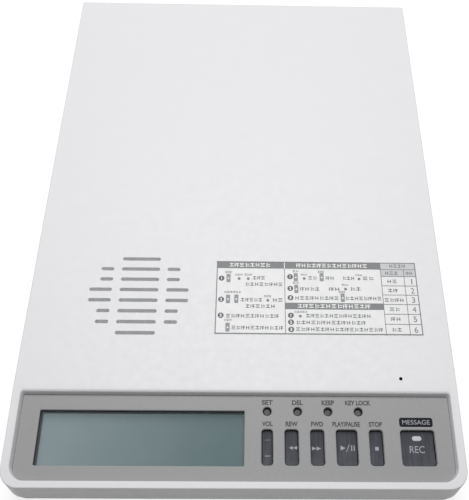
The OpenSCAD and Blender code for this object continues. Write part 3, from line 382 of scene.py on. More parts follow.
class Finish:
    """A procedural material built on the coordinates of the object."""

    def __init__(self, name, colour, rough, metal=0.0):
        self.material = bpy.data.materials.new(name)
        self.material.use_nodes = True
        self.tree = self.material.node_tree
        self.shader = self.tree.nodes["Principled BSDF"]
        self.colour = srgb(*colour)
        self.shader.inputs["Base Color"].default_value = self.colour
        self.shader.inputs["Roughness"].default_value = rough
        self.shader.inputs["Metallic"].default_value = metal
        self.coords = self.node("ShaderNodeTexCoord").outputs["Object"]
        self.bump = None

    def node(self, kind, **values):
        """A new node of a kind, with its own settings."""
        made = self.tree.nodes.new(kind)
        for key, value in values.items():
            setattr(made, key, value)
        return made

    def link(self, source, target):
        """Leads an output of a node to an input of another."""
        self.tree.links.new(source, target)

    def noise(self, size, detail=3.0, stretch=(1, 1, 1)):
        """Noise with features of a size in millimetres."""
        spread = self.node("ShaderNodeMapping")
        spread.inputs["Scale"].default_value = stretch
        self.link(self.coords, spread.inputs["Vector"])
        made = self.node("ShaderNodeTexNoise")
        made.inputs["Scale"].default_value = 1 / (size * MM)
        made.inputs["Detail"].default_value = detail
        self.link(spread.outputs["Vector"], made.inputs["Vector"])
        return made.outputs["Fac"]

    def between(self, factor, low, high):
        """A value that follows a factor from low to high."""
        made = self.node("ShaderNodeMapRange")
        made.inputs["From Min"].default_value = NOISE_SPAN[0]
        made.inputs["From Max"].default_value = NOISE_SPAN[1]
        made.inputs["To Min"].default_value = low
        made.inputs["To Max"].default_value = high
        self.link(factor, made.inputs["Value"])
        return made.outputs["Result"]

    def tint(self, factor, spread):
        """Lets the colour follow a factor, darker and lighter by a share."""
        made = self.node("ShaderNodeMix", data_type="RGBA")
        for socket, part in (("A", 1 - spread), ("B", 1 + spread)):
            shade = tuple(min(1, c * part) for c in self.colour[:3])
            made.inputs[socket].default_value = shade + (1,)
        self.link(self.between(factor, 0, 1), made.inputs["Factor"])
        self.link(made.outputs["Result"], self.shader.inputs["Base Color"])

    def wear(self, factor, rough, swing):
        """Lets the roughness follow a factor, either way from its middle."""
        follow = self.between(factor, rough - swing, rough + swing)
        self.link(follow, self.shader.inputs["Roughness"])

    def relief(self, factor, depth):
        """Raises the surface with a factor, by a depth in millimetres."""
        made = self.node("ShaderNodeBump")
        made.inputs["Distance"].default_value = depth * MM
        made.inputs["Strength"].default_value = 1
        self.link(factor, made.inputs["Height"])
        if self.bump:
            self.link(self.bump, made.inputs["Normal"])
        self.bump = made.outputs["Normal"]
        self.link(self.bump, self.shader.inputs["Normal"])

    def set(self, **values):
        """Sets inputs of the shader by name, with _ for a space."""
        for key, value in values.items():
            self.shader.inputs[key.replace("_", " ")].default_value = value
        return self


def moulded(name, colour, rough, grain=0.5, depth=0.004, mottle=0.02):
    """Moulded plastic with a fine grain."""
    made = Finish(name, colour, rough)
    made.tint(made.noise(size=9.0), mottle)
    made.wear(made.noise(size=3.0), rough, swing=0.05)
    made.relief(made.noise(grain), depth)
    return made.material


def painted(name, colour, rough, speckle=0.07):
    """Satin paint with a fine speckle."""
    made = Finish(name, colour, rough)
    made.tint(made.noise(size=0.3, detail=1.0), speckle)
    made.wear(made.noise(size=0.6), rough, swing=0.06)
    made.relief(made.noise(size=0.35), depth=0.003)
    return made.material


def streaked(name, colour, rough):
    """Matt plastic with faint streaks along Y."""
    made = Finish(name, colour, rough).set(Specular_IOR_Level=0.3)
    made.tint(made.noise(size=0.9, detail=2.0, stretch=(1, 0.06, 0.06)), spread=0.3)
    made.wear(made.noise(size=3.0), rough, swing=0.05)
    made.relief(made.noise(size=0.4), depth=0.004)
    return made.material


def ink(name, colour, rough=0.5, gloss=0.5):
    """Printed ink with a faint unevenness."""
    made = Finish(name, colour, rough).set(Specular_IOR_Level=gloss)
    made.tint(made.noise(size=0.8), spread=0.05)
    return made.material


def metal(name, colour, rough):
    """Metal with a drawn grain."""
    made = Finish(name, colour, rough, metal=1.0)
    grain = made.noise(size=0.5, detail=4.0, stretch=(1, 12, 1))
    made.tint(grain, spread=0.08)
    made.wear(grain, rough, swing=0.08)
    return made.material


def woven(name, colour, pitch):
    """Cloth of crossed threads."""
    made = Finish(name, colour, rough=0.9)
    waves = []
    for axis in ("X", "Y"):
        wave = made.node("ShaderNodeTexWave", wave_type="BANDS", bands_direction=axis)
        wave.inputs["Scale"].default_value = WAVE_LENGTH / (pitch * MM)
        made.link(made.coords, wave.inputs["Vector"])
        waves.append(wave.outputs["Fac"])
    cross = made.node("ShaderNodeMath", operation="MULTIPLY")
    made.link(waves[0], cross.inputs[0])
    made.link(waves[1], cross.inputs[1])
    made.tint(cross.outputs["Value"], spread=0.25)
    made.relief(cross.outputs["Value"], depth=0.05)
    return made.material


# The display's finish: its plain colour, the colours at its left and right, and the drift between;
# the colours also glow as painted light
LCD_PLAIN = (80, 90, 92)
LCD_LEFT = (83, 94, 97)
LCD_RIGHT = (50, 66, 69)
LCD_START = 0.05
LCD_DRIFT = 0.25
LCD_ROUGH = 0.3


def display(name):
    """Display glass, lighter and bluer at its left, darker and greener at its right, glowing in the
    same colours as painted light though the display is off.
    """
    made = Finish(name, LCD_PLAIN, LCD_ROUGH).set(Emission_Strength=1.4, Specular_IOR_Level=0.06)
    split = made.node("ShaderNodeSeparateXYZ")
    made.link(made.coords, split.inputs["Vector"])
    along = made.node("ShaderNodeMapRange")
    along.inputs["From Min"].default_value = LCD_X[0] * MM
    along.inputs["From Max"].default_value = LCD_X[1] * MM
    made.link(split.outputs["X"], along.inputs["Value"])
    drift = made.node("ShaderNodeMath", operation="MULTIPLY_ADD")
    drift.inputs[1].default_value = LCD_DRIFT
    made.link(made.noise(size=18.0, detail=2.0), drift.inputs[0])
    made.link(along.outputs["Result"], drift.inputs[2])
    ramp = made.node("ShaderNodeValToRGB")
    stops = ramp.color_ramp.elements
    stops[0].position, stops[0].color = LCD_START, srgb(*LCD_LEFT)
    stops[1].position, stops[1].color = 1.0, srgb(*LCD_RIGHT)
    made.link(drift.outputs["Value"], ramp.inputs["Fac"])
    made.link(ramp.outputs["Color"], made.shader.inputs["Base Color"])
    # The same colours glow, as painted light that lifts the display out of its shade
    made.link(ramp.outputs["Color"], made.shader.inputs["Emission Color"])
    made.wear(made.noise(size=2.0), LCD_ROUGH, swing=0.04)
    return made.material


# Plastics and metal of the visible pieces
CASE_WHITE = moulded("case_white", (224, 224, 226), 0.45, grain=0.5, depth=0.003, mottle=0.004)
PANEL_GREY = painted("panel_grey", (149, 149, 150), 0.5)
KEY_SLATE = streaked("key_slate", (62, 64, 71), 0.55)
LABEL_WHITE = moulded("label_white", (225, 225, 226), 0.4, grain=1.5, depth=0.002, mottle=0.01)
FOOT_RUBBER = moulded("foot_rubber", (62, 62, 64), 0.8, grain=0.4, depth=0.01, mottle=0.06)
DARK_PLASTIC = moulded("dark_plastic", (44, 45, 48), 0.45, grain=0.5, depth=0.005, mottle=0.05)
ZINC_STEEL = metal("zinc_steel", (186, 188, 192), 0.34)
CARD_BLUE = moulded("card_blue", (46, 78, 136), 0.4, grain=0.4, depth=0.004, mottle=0.04)
LENS_PALE = moulded("lens_pale", (184, 187, 189), 0.3, grain=0.8, depth=0.002, mottle=0.06)
BUTTON_GREY = moulded("button_grey", (48, 50, 54), 0.45, grain=0.4, depth=0.003, mottle=0.04)
# Painted shade: a dark finish laid on the walls of the panel's openings and the microphone's hole,
# where shade falls
SHADE_PAINT_BLACK = moulded("painted_shade_black", (56, 57, 60), 0.6, grain=0.5, depth=0.003, mottle=0.04)
WINDOW = Finish("window_clear", (225, 232, 232), 0.08).set(Alpha=0.03).material

# Inks, from dark to pale
INK_CAPTION = ink("ink_caption", (36, 37, 40))
INK_SLATE = ink("ink_slate", (36, 37, 42), rough=0.7, gloss=0.1)
INK_DARK = ink("ink_dark", (76, 77, 80))
INK_DIM = ink("ink_dim", (112, 114, 122))
INK_GREY = ink("ink_grey", (118, 119, 121))
INK_MID = ink("ink_mid", (140, 141, 144))
INK_LIGHT = ink("ink_light", (158, 161, 168))
INK_TABLE = ink("ink_table", (196, 197, 199))
INK_WHITE = ink("ink_white", (246, 246, 246))

# Finish of each CAD node that keeps its own mesh, by its slot in the record
KEPT = {
    "window_clear": WINDOW,
    "lcd_grey": display("lcd_grey"),
    "label_white": LABEL_WHITE,
    "foot_rubber": FOOT_RUBBER,
    "zinc_steel": ZINC_STEEL,
    "dark_plastic": DARK_PLASTIC,
    "switch_grey": moulded("switch_grey", (110, 114, 120), 0.5),
    "backlight_milk": moulded("backlight_milk", (242, 242, 237), 0.3),
    "contact_rubber": moulded("contact_rubber", (216, 164, 160), 0.7),
    "board_green": painted("board_green", (46, 107, 69), 0.35, 0.1),
    "led_red": Finish("led_red", (200, 72, 64), 0.2).set(Subsurface_Weight=0.3).material,
    "dust_cloth": woven("dust_cloth", (226, 228, 231), 0.5),
    "cone_paper": painted("cone_paper", (84, 80, 75), 0.9, 0.15),
    "magnet_iron": painted("magnet_iron", (74, 74, 78), 0.6, 0.12),
    "connector_cream": moulded("connector_cream", (235, 232, 220), 0.5),
    "capacitor_blue": moulded("capacitor_blue", (43, 58, 99), 0.3),
    "cable_grey": moulded("cable_grey", (216, 216, 217), 0.5),
    "lead_red": moulded("lead_red", (143, 46, 46), 0.5),
    "lead_dark": moulded("lead_dark", (60, 60, 64), 0.5),
    "coil_tape": painted("coil_tape", (138, 122, 74), 0.5, 0.1),
    "cell_steel": metal("cell_steel", (201, 203, 206), 0.25),
    "contact_gold": metal("contact_gold", (201, 162, 74), 0.3),
    "card_blue": CARD_BLUE,
}


# The upper case
def recess():
    """Solid of the sunken panel, with leaning side and rear walls and rounded front corners."""
    lift = RECESS_RISE / -SHEET_TOP
    piece = slab((-1, 1), (0, 1), (SHEET_TOP, RECESS_RISE))
    for vertex in piece.data.vertices:
        out = lift if vertex.co.z > 0 else -1
        side = 1 if vertex.co.x > 0 else -1
        vertex.co.x = side * (RECESS_X + SIDE_LEAN * out)
        vertex.co.y = RECESS_V[1] + REAR_LEAN * out if vertex.co.y > 0.5 else RECESS_V[0]

    def slanted(a, b):
        return (a.z > 0) != (b.z > 0)

    round_edges(piece, RECESS_R, 12, lambda a, b: slanted(a, b) and a.y < RECESS_MID)
    round_edges(piece, RECESS_REAR_R, 4, lambda a, b: slanted(a, b) and a.y > RECESS_MID)
    return piece


def slot_cutter(length):
    """A rounded slot that narrows inwards, with a soft lip at its mouth."""
    depth = (-WALL - OVER, SLOT_LIP_FOOT)
    piece = slab((-length / 2, length / 2), (-SLOT_W / 2, SLOT_W / 2), depth)
    round_edges(piece, SLOT_W / 2 - HAIR, 6, upright)
    for vertex in piece.data.vertices:
        if vertex.co.z < -WALL:
            vertex.co.x *= 1 - 2 * SLOT_DRAFT / length
            vertex.co.y *= 1 - 2 * SLOT_DRAFT / SLOT_W
    for rise, grow in SLOT_LIP:
        unselect(piece, FACES)
        top = max(piece.data.polygons, key=lambda face: face.center.z)
        top.select = True
        width = max(piece.data.vertices[i].co.y for i in top.vertices)
        reach = max(piece.data.vertices[i].co.x for i in top.vertices)
        bpy.ops.object.mode_set(mode="EDIT")
        bpy.ops.mesh.extrude_region_move(TRANSFORM_OT_translate={"value": (0, 0, rise)})
        bpy.ops.transform.resize(value=((reach + grow) / reach, (width + grow) / width, 1))
        bpy.ops.object.mode_set(mode="OBJECT")
    return piece


def grille():
    """The slots of the speaker grille."""
    slots = []
    for row, side in enumerate(SLOT_SIDES):
        t = GRILLE_T + (row - (len(SLOT_SIDES) - 1) / 2) * SLOT_PITCH
        runs = [(0, SLOT_MID)]
        if side:
            reach = SLOT_MID / 2 + SLOT_GAP + side / 2
            runs += [(-reach, side), (reach, side)]
        for x, length in runs:
            piece = slot_cutter(length)
            piece.data.transform(Matrix.Translation((GRILLE_X + x, t, 0)))
            slots.append(piece)
    return join(slots)


def key_opening(node):
    """Range across of the opening of a key, from the flange of its CAD node."""
    low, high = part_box(node)
    return low[0] / MM + FLANGE, high[0] / MM - FLANGE


def middle_x(node):
    """Middle of a CAD node across the panel."""
    low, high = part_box(node)
    return (low[0] + high[0]) / 2 / MM


# Openings of the rocker and the keys, and holes of the round buttons, across the panel
ROCKER_X = middle_x("volume_rocker")
OPENINGS = [(ROCKER_X - ROCKER_W / 2, ROCKER_X + ROCKER_W / 2)]
OPENINGS += [key_opening(key + "_key") for key in KEYS]
HOLES = [middle_x(button + "_button") for button in BUTTONS]


def openings(z):
    """Solids of the key openings and button holes over a range in height."""
    solids = []
    for across in OPENINGS:
        piece = slab(across, KEY_V, z)
        round_edges(piece, KEY_R, 6, upright)
        solids.append(piece)
    for x in HOLES:
        solids.append(drum(x, BUTTON_V, HOLE_R, z, 48))
    return join(solids)


def case_block():
    """The case as a solid block, cut to its two slopes and sunk at the panel."""
    piece = slab((-HALF_W, HALF_W), (-HALF_D, HALF_D), (SEAM, TALL))
    round_edges(piece, FRONT_CORNER, 14, front_corner)
    for face in (PANEL, TOP):
        slice_by(piece, face.translation, face.to_3x3() @ UP)
    cut_on(piece, recess(), PANEL)
    return piece


def edge_width(ends, tilts):
    """Rounding of an edge of the case, from its place and the tilts of the faces beside it."""
    middle = (ends[0] + ends[1]) / 2
    local = PANEL.inverted() @ middle
    if upright(*ends):
        return REAR_CORNER if middle.y > 0 else 0
    if middle.z < SEAM + HAIR:
        return SEAM_EDGE
    sunk = local.y < CREASE_V and local.z < SHEET_TOP / 2
    if max(tilts) < TOP_TILT or min(tilts) > CREASE_TILT or sunk:
        return 0
    low, high = grown(RECESS_V, RIM_REACH)
    if abs(middle.x) < RECESS_X + RIM_REACH and low < local.y < high:
        rear = share(local.y, RECESS_V[1] - RECESS_REAR_R, RECESS_V[1])
        return RECESS_EDGE + (RECESS_REAR_EDGE - RECESS_EDGE) * rear
    if middle.y > HALF_D - REAR_REACH:
        return REAR_EDGE
    front = share(middle.y, FRONT_CORNER - HALF_D, -HALF_D)
    return SIDE_EDGE + (FRONT_EDGE - SIDE_EDGE) * front


def round_case(piece):
    """Rounds the outer edges and the rim of the panel, each by its own width."""
    widest = max(REAR_CORNER, REAR_EDGE, RECESS_REAR_EDGE)
    tilts = tilts_of(piece)
    weights = piece.data.attributes.new("bevel_weight_edge", "FLOAT", "EDGE")
    points = piece.data.vertices
    for edge in piece.data.edges:
        ends = [points[i].co for i in edge.vertices]
        weights.data[edge.index].value = edge_width(ends, tilts[edge.key]) / widest
    modify(piece, "BEVEL", width=widest, segments=5, limit_method="WEIGHT")


def hollow_case(piece):
    """Cuts the seat of the sheet, then the inside behind the crease and below the panel."""
    half = RECESS_X - SIDE_LEAN
    along = (RECESS_V[0], RECESS_V[1] - REAR_LEAN)
    seat = slab((-half, half), along, (WEB_TOP, SHEET_TOP + SHEET_GAP))
    round_edges(seat, RECESS_R - SIDE_LEAN, 12, recess_front)
    cut_on(piece, seat, PANEL)
    across = (-HALF_W + WALL, HALF_W - WALL)
    rear = slab(across, ((TOP @ Vector((0, OVER, 0))).y, HALF_D - WALL), (SEAM - OVER, TALL))
    slice_by(rear, TOP @ Vector((0, 0, -WALL)), TOP.to_3x3() @ UP)
    combine(piece, rear)
    fold = (PANEL @ Vector((0, CREASE_V + OVER, 0))).y
    front = slab(across, (-HALF_D + WALL, fold), (SEAM - OVER, TALL))
    round_edges(front, FRONT_CORNER - WALL, 10, front_corner)
    slice_by(front, PANEL @ Vector((0, 0, WEB_BOTTOM)), PANEL.to_3x3() @ UP)
    combine(piece, front)


def solids_of(node):
    """Corners of each separate solid of a CAD node, in millimetres, left to right."""
    piece = twin(frame["nodes"][node])
    edit_all(piece)
    bpy.ops.mesh.remove_doubles(threshold=1e-6)
    bpy.ops.mesh.separate(type="LOOSE")
    bpy.ops.object.mode_set(mode="OBJECT")
    corners = []
    for part in list(bpy.context.selected_objects):
        points = [part.matrix_world @ v.co / MM for v in part.data.vertices]
        corners.append((Vector(map(min, zip(*points))), Vector(map(max, zip(*points)))))
        bpy.data.objects.remove(part)
    return sorted(corners, key=lambda pair: pair[0].x)


def open_case(piece):
    """Cuts the openings of the panel, grille, microphone, sockets and card."""
    through = (WEB_BOTTOM - OVER, WEB_TOP + OVER / 2)
    cut_on(piece, openings(through), PANEL)
    cut_on(piece, slab(grown(LCD_X, LCD_MARGIN), grown(LCD_V, LCD_MARGIN), through), PANEL)
    cut_on(piece, grille(), TOP)
    cut_on(piece, drum(*MIC, MIC_R, (-WALL - OVER, OVER), 32), TOP)
    rear_wall = (HALF_D - WALL - OVER, HALF_D + OVER)
    for node in ("modular_jacks", "power_jack"):
        for low, high in solids_of(node):
            x, z = grown((low.x, high.x), SOCKET_GAP), grown((low.z, high.z), SOCKET_GAP)
            combine(piece, slab(x, rear_wall, z))
    low, high = (Vector(c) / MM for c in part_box("audio_jack"))
    sleeve_at = Matrix.Translation(((low.x + high.x) / 2, HALF_D, (low.z + high.z) / 2))
    sleeve = drum(0, 0, SLEEVE_R, (-WALL - OVER, OVER), 48)
    cut_on(piece, sleeve, sleeve_at @ Matrix.Rotation(-math.pi / 2, 4, "X"))
    low, high = (Vector(c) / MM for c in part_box("memory_card"))
    y, z = grown((low.y, high.y), SOCKET_GAP), grown((low.z, high.z), SOCKET_GAP)
    combine(piece, slab((HALF_W - WALL - OVER, HALF_W + OVER), y, z))


def shield(piece, to_panel):
    """Gives the walls of the panel's openings a dark finish as painted shade, the second of the
    piece.
    """
    v0, v1 = grown(RECESS_V, -SHADE_PAINT_IN)
    for face in piece.data.polygons:
        local = to_panel @ face.center
        tilt = abs((to_panel.to_3x3() @ face.normal).z)
        inside = abs(local.x) < RECESS_X - SHADE_PAINT_IN and v0 < local.y < v1
        deep = WEB_BOTTOM - SHADE_PAINT_BELOW < local.z < SHEET_TOP
        face.material_index = 1 if inside and deep and tilt < WALL_TILT else 0


def upper_case():
    """The white upper shell, with painted shade on the walls of the panel's openings and the
    microphone's hole.
    """
    piece = case_block()
    round_case(piece)
    hollow_case(piece)
    open_case(piece)
    shield(piece, PANEL.inverted())
    # The walls of the microphone's hole take the painted shade as well
    for face in piece.data.polygons:
        local = TOP.inverted() @ face.center
        beside = max(abs(local.x - MIC[0]), abs(local.y - MIC[1]))
        if beside < MIC_R and local.z > -WALL:
            face.material_index = 1
    finish(piece, "upper_case", "case", [CASE_WHITE, SHADE_PAINT_BLACK], ["top_case"])


# The lower case, its feet and screws
FOOT_R = 6.0
FOOT_H = 2.0
FOOT_GAP = 0.15
FOOT_SEAT = 0.6
FOOT_EDGE = 0.6
DIMPLE_R = 3.2
DIMPLE_H = 0.35
FEET = [(x, y) for x in (-68.0, 68.0) for y in (-108.0, 108.0)]
CASE_SCREWS = [(x, y) for x in (-76.0, 76.0) for y in (-74.04, 93.0)]
TUBE_R = 4.5
TUBE_TOP = SEAM + 1.6
HEAD_R = 3.2
HEAD_TOP = 4.3
SHAFT_R = 1.6
SHAFT_TOP = SEAM + 3
TRAY_IN = 0.8
TRAY_EDGE = 0.8
LIP_IN = 2.35
LIP_T = 1.2
LIP_FOOT = FOOT_H + 1.5


def lower_case():
    """The lower tray, with a lip inside the upper shell, screw tubes and seats of the feet."""
    def tray(inset, z):
        solid = slab((-HALF_W + inset, HALF_W - inset), (-HALF_D + inset, HALF_D - inset), z)
        round_edges(solid, FRONT_CORNER - inset, 12, front_corner)
        if inset < REAR_CORNER:
            round_edges(solid, REAR_CORNER - inset, 3, lambda a, b: upright(a, b) and a.y > 0)
        return solid

    piece = tray(TRAY_IN, (FOOT_H, SEAM))
    round_edges(piece, TRAY_EDGE, 4, lambda a, b: max(a.z, b.z) < FOOT_H + HAIR)
    combine(piece, tray(LIP_IN, (LIP_FOOT, SEAM + WALL)), "UNION")
    combine(piece, tray(LIP_IN + LIP_T, (FOOT_H + WALL, SEAM + WALL + OVER)))
    tubes = join([drum(x, y, TUBE_R, (FOOT_H + OVER, TUBE_TOP), 48) for x, y in CASE_SCREWS])
    combine(piece, tubes, "UNION")
    bores = [drum(x, y, HEAD_R, (FOOT_H - OVER, HEAD_TOP), 48) for x, y in CASE_SCREWS]
    bores += [drum(x, y, FOOT_R + FOOT_GAP, (FOOT_H - OVER, FOOT_H + FOOT_SEAT)) for x, y in FEET]
    combine(piece, join(bores))
    shafts = join([drum(x, y, SHAFT_R, (FOOT_H, SHAFT_TOP), 32) for x, y in CASE_SCREWS])
    combine(piece, shafts)
    finish(piece, "lower_case", "case", [CASE_WHITE], ["bottom_case"])


def feet():
    """Four rubber pads, each dimpled below."""
    first = drum(0, 0, FOOT_R, (0, FOOT_H + FOOT_SEAT))
    round_edges(first, FOOT_EDGE, 4, lambda a, b: max(a.z, b.z) < HAIR)
    combine(first, drum(0, 0, DIMPLE_R, (-OVER, DIMPLE_H), 48))
    pads = [twin(first, Matrix.Translation((x, y, 0))) for x, y in FEET]
    bpy.data.objects.remove(first)
    finish(join(pads), "foot_pads", "case", [FOOT_RUBBER], ["rubber_feet"])


# The grey sheet of the panel
def panel_sheet():
    """The sheet with its openings, softly edged all round, with painted shade on the walls of the
    openings.
    """
    half = RECESS_X - SIDE_LEAN - SHEET_GAP
    along = (RECESS_V[0] + SHEET_GAP, RECESS_V[1] - REAR_LEAN - SHEET_GAP)
    piece = slab((-half, half), along, (WEB_TOP + SHEET_GAP, SHEET_TOP))
    round_edges(piece, RECESS_R - SIDE_LEAN - SHEET_GAP, 12, recess_front)
    through = (WEB_TOP - OVER, SHEET_TOP + OVER)
    combine(piece, openings(through))
    combine(piece, slab(LCD_X, LCD_V, through))
    soften(piece, SHEET_EDGE, 3, 60)
    # The walls of the sheet's openings take the painted shade
    shield(piece, CASE)
    piece.data.transform(PANEL)
    finishes = [PANEL_GREY, SHADE_PAINT_BLACK]
    finish(piece, "panel_sheet", "case", finishes, ["control_panel"])


# Keys, rocker and round buttons
KEY_MID = (KEY_V[0] + KEY_V[1]) / 2
KEY_HALF = (KEY_V[1] - KEY_V[0]) / 2 - KEY_GAP
DISH_STEPS = 10
CAP_EDGE = 0.25
FLANGE_TOP = -4.9
LENS = (68.30, 19.25)
LENS_HALF = (1.9, 1.0)
LENS_GAP = 0.05
LENS_RISE = 0.08
LENS_EDGE = 0.3
PIN_R = 0.7
PIN_Z = -6.0
PIN_OUT = 0.6
STEM_IN = 0.6
STEM_HALF = 1.2
STEM_FOOT = -6.6
BUTTON_FOOT = -8.0
BUTTON_EDGE = 0.45


def dish_at(v):
    """Height of a key's dished top at a place along it."""
    rim = math.sqrt(DISH_R ** 2 - KEY_HALF ** 2)
    return KEY_TOP - math.sqrt(DISH_R ** 2 - (v - KEY_MID) ** 2) + rim


def cap(x0, x1):
    """A key with rounded corners, a dished top and soft edges."""
    piece = slab((x0 + KEY_GAP, x1 - KEY_GAP), grown(KEY_V, -KEY_GAP), (KEY_FOOT, KEY_TOP))
    round_edges(piece, KEY_R - KEY_GAP, 5, upright)
    for i in range(1 - DISH_STEPS, DISH_STEPS):
        slice_by(piece, (0, KEY_MID + i * KEY_HALF / DISH_STEPS, 0), (0, 1, 0), keep_below=False)
    for vertex in piece.data.vertices:
        if vertex.co.z > KEY_TOP - HAIR:
            vertex.co.z = dish_at(vertex.co.y)
    points = piece.data.vertices
    lips = set()
    for (a, b), tilts in tilts_of(piece).items():
        if max(tilts) > TOP_TILT and min(tilts) < SIDE_TILT:
            lips.add(frozenset((tuple(points[a].co), tuple(points[b].co))))
    round_edges(piece, CAP_EDGE, 4, lambda a, b: frozenset((tuple(a), tuple(b))) in lips)
    return piece


def flange(x0, x1):
    """The lip of a key below the panel."""
    piece = slab(grown((x0, x1), FLANGE), grown(KEY_V, FLANGE), (KEY_FOOT, FLANGE_TOP))
    round_edges(piece, KEY_R, 3, upright)
    return piece


def lens_block(gap, z):
    """A block with round ends at the lamp window's place, wider than the window by a gap."""
    x, v = (grown((at, at), half + gap) for at, half in zip(LENS, LENS_HALF))
    piece = slab(x, v, z)
    round_edges(piece, LENS_HALF[1] + gap - HAIR, 8, upright)
    return piece


def keys():
    """The five keys, and the lamp window of the record key."""
    for name, (x0, x1) in zip(KEYS, OPENINGS[1:]):
        piece = cap(x0, x1)
        combine(piece, flange(x0, x1), "UNION")
        if name == "record":
            combine(piece, lens_block(LENS_GAP, (KEY_FOOT - OVER, 0)))
        piece.data.transform(PANEL)
        finish(piece, name + "_cap", name + "_key", [KEY_SLATE], [name + "_key"])
    lens = lens_block(0, (KEY_FOOT, dish_at(LENS[1]) + LENS_RISE))
    round_edges(lens, LENS_EDGE, 4, lambda a, b: min(a.z, b.z) > KEY_FOOT + OVER)
    lens.data.transform(PANEL)
    finish(lens, "record_window", "record_key", [LENS_PALE], ["record_lens"])


def rocker():
    """The volume rocker on its stem and trunnion pins."""
    x0, x1 = OPENINGS[0]
    piece = cap(x0, x1)
    pins = drum(0, 0, PIN_R, grown((-ROCKER_W / 2, ROCKER_W / 2), PIN_OUT), 32)
    pins_at = Matrix.Translation((ROCKER_X, KEY_MID, PIN_Z))
    pins.data.transform(pins_at @ Matrix.Rotation(math.pi / 2, 4, "Y"))
    stem_z = (STEM_FOOT, KEY_FOOT + OVER)
    stem = slab((x0 + STEM_IN, x1 - STEM_IN), (KEY_MID - STEM_HALF, KEY_MID + STEM_HALF), stem_z)
    combine(piece, stem, "UNION")
    combine(piece, pins, "UNION")
    piece.data.transform(PANEL)
    finish(piece, "rocker_cap", "volume_rocker", [KEY_SLATE], ["volume_rocker"])


def buttons():
    """The four round buttons, deep in their holes."""
    first = drum(0, 0, HOLE_R - KEY_GAP, (BUTTON_FOOT, BUTTON_TOP), 48)
    round_edges(first, BUTTON_EDGE, 5, lambda a, b: min(a.z, b.z) > BUTTON_FOOT + OVER)
    for name, x in zip(BUTTONS, HOLES):
        piece = twin(first, PANEL @ Matrix.Translation((x, BUTTON_V, 0)))
        finish(piece, name + "_dot", name + "_button", [BUTTON_GREY], [name + "_button"])
    bpy.data.objects.remove(first)


# Printing: thickness of the ink, its lift off the surface below, and boldness of the lettering
INK_T = 0.03
INK_LIFT = 0.002
KEY_INK_LIFT = 0.004
ROCKER_INK_LIFT = 0.015
WORD_DEPTH = 0.1
WORD_BOLD = 0.035


def words(text, x, v, z, bold=WORD_BOLD):
    """Lettering that fills a range across and along."""
    bpy.ops.object.select_all(action="DESELECT")
    bpy.ops.object.text_add()
    bpy.context.object.data.body = text
    bpy.context.object.data.extrude = WORD_DEPTH
    bpy.context.object.data.offset = bold
    bpy.ops.object.convert(target="MESH")
    piece = bpy.context.object
    low = Vector(map(min, zip(*(p.co for p in piece.data.vertices))))
    high = Vector(map(max, zip(*(p.co for p in piece.data.vertices))))
    size = high - low
    spread = Matrix.Diagonal(((x[1] - x[0]) / size.x, (v[1] - v[0]) / size.y, INK_T / size.z, 1))
    piece.data.transform(Matrix.Translation((x[0], v[0], z)) @ spread @ Matrix.Translation(-low))
    return piece


def bar(x, v, z):
    """A flat printed bar."""
    corners = [(x[0], v[0]), (x[1], v[0]), (x[1], v[1]), (x[0], v[1])]
    return outline(corners, (z, z + INK_T))


def arrow(x0, x1, v, half, z):
    """A printed triangle that points from its first place across to its second."""
    return outline([(x0, v - half), (x1, v), (x0, v + half)], (z, z + INK_T))


def print_on(face, marks, name, body, material):
    """Lays printed marks on a face as one piece and gives them their ink."""
    piece = join(marks)
    piece.data.transform(face)
    finish(piece, name, body, [material])


# Captions of the panel, with the range of each across and the range of its row along
UPPER_ROW = (31.3, 33.2)
LOWER_ROW = (23.1, 25.0)
CAPTIONS = (
    ("SET", (9.7, 13.9), UPPER_ROW),
    ("DEL", (21.3, 25.4), UPPER_ROW),
    ("KEEP", (32.6, 37.4), UPPER_ROW),
    ("KEY LOCK", (41.6, 51.4), UPPER_ROW),
    ("VOL", (9.8, 13.9), LOWER_ROW),
    ("REW", (18.7, 23.3), LOWER_ROW),
    ("FWD", (28.3, 32.9), LOWER_ROW),
    ("PLAY/PAUSE", (36.4, 46.8), LOWER_ROW),
    ("STOP", (50.2, 55.2), LOWER_ROW),
)
PILL_X, PILL_V, PILL_R = (61.76, 74.48), (23.18, 26.70), 0.9
PILL_WORD_X, PILL_WORD_V = (62.9, 73.4), (24.1, 25.8)


def panel_print():
    """The captions of the panel, and the dark pill with its pale word."""
    z = SHEET_TOP + INK_LIFT
    captions = [words(text, x, v, z) for text, x, v in CAPTIONS]
    print_on(PANEL, captions, "panel_captions", "case", INK_CAPTION)
    pill = slab(PILL_X, PILL_V, (z, z + INK_T))
    round_edges(pill, PILL_R, 6, upright)
    print_on(PANEL, [pill], "panel_pill", "case", INK_SLATE)
    word = words("MESSAGE", PILL_WORD_X, PILL_WORD_V, z + INK_T + INK_LIFT, bold=0)
    print_on(PANEL, [word], "panel_pill_word", "case", INK_LIGHT)


# Signs of the keys, in ranges across and along; an arrow runs from its foot to its point
SIGN_V = 15.4
SMALL_ARROW_HALF = 0.7
REWIND_ARROWS, REWIND_V = ((21.4, 19.9), (23.0, 21.5)), 15.6
FORWARD_ARROWS, FORWARD_V = ((28.6, 30.2), (30.3, 32.0)), 15.4
PLAY_ARROW, PLAY_V, PLAY_HALF = (39.3, 41.2), 15.6, 0.9
SLASH = ((41.35, 14.2), (41.62, 14.2), (42.75, 16.9), (42.48, 16.9))
PAUSE_BARS, PAUSE_V = ((43.3, 43.68), (44.25, 44.63)), (14.6, 16.6)
STOP_X, STOP_V = (52.3, 53.6), (14.75, 16.1)
RECORD_X, RECORD_V = (65.3, 70.9), (13.9, 16.5)

# Marks of the rocker: range across, then range along and the place that gives the height of each
ROCKER_MARK_X = (10.9, 13.0)
UPPER_MARK, UPPER_MARK_AT = (18.3, 18.55), 18.4
LOWER_MARK, LOWER_MARK_AT = (12.4, 12.65), 12.5


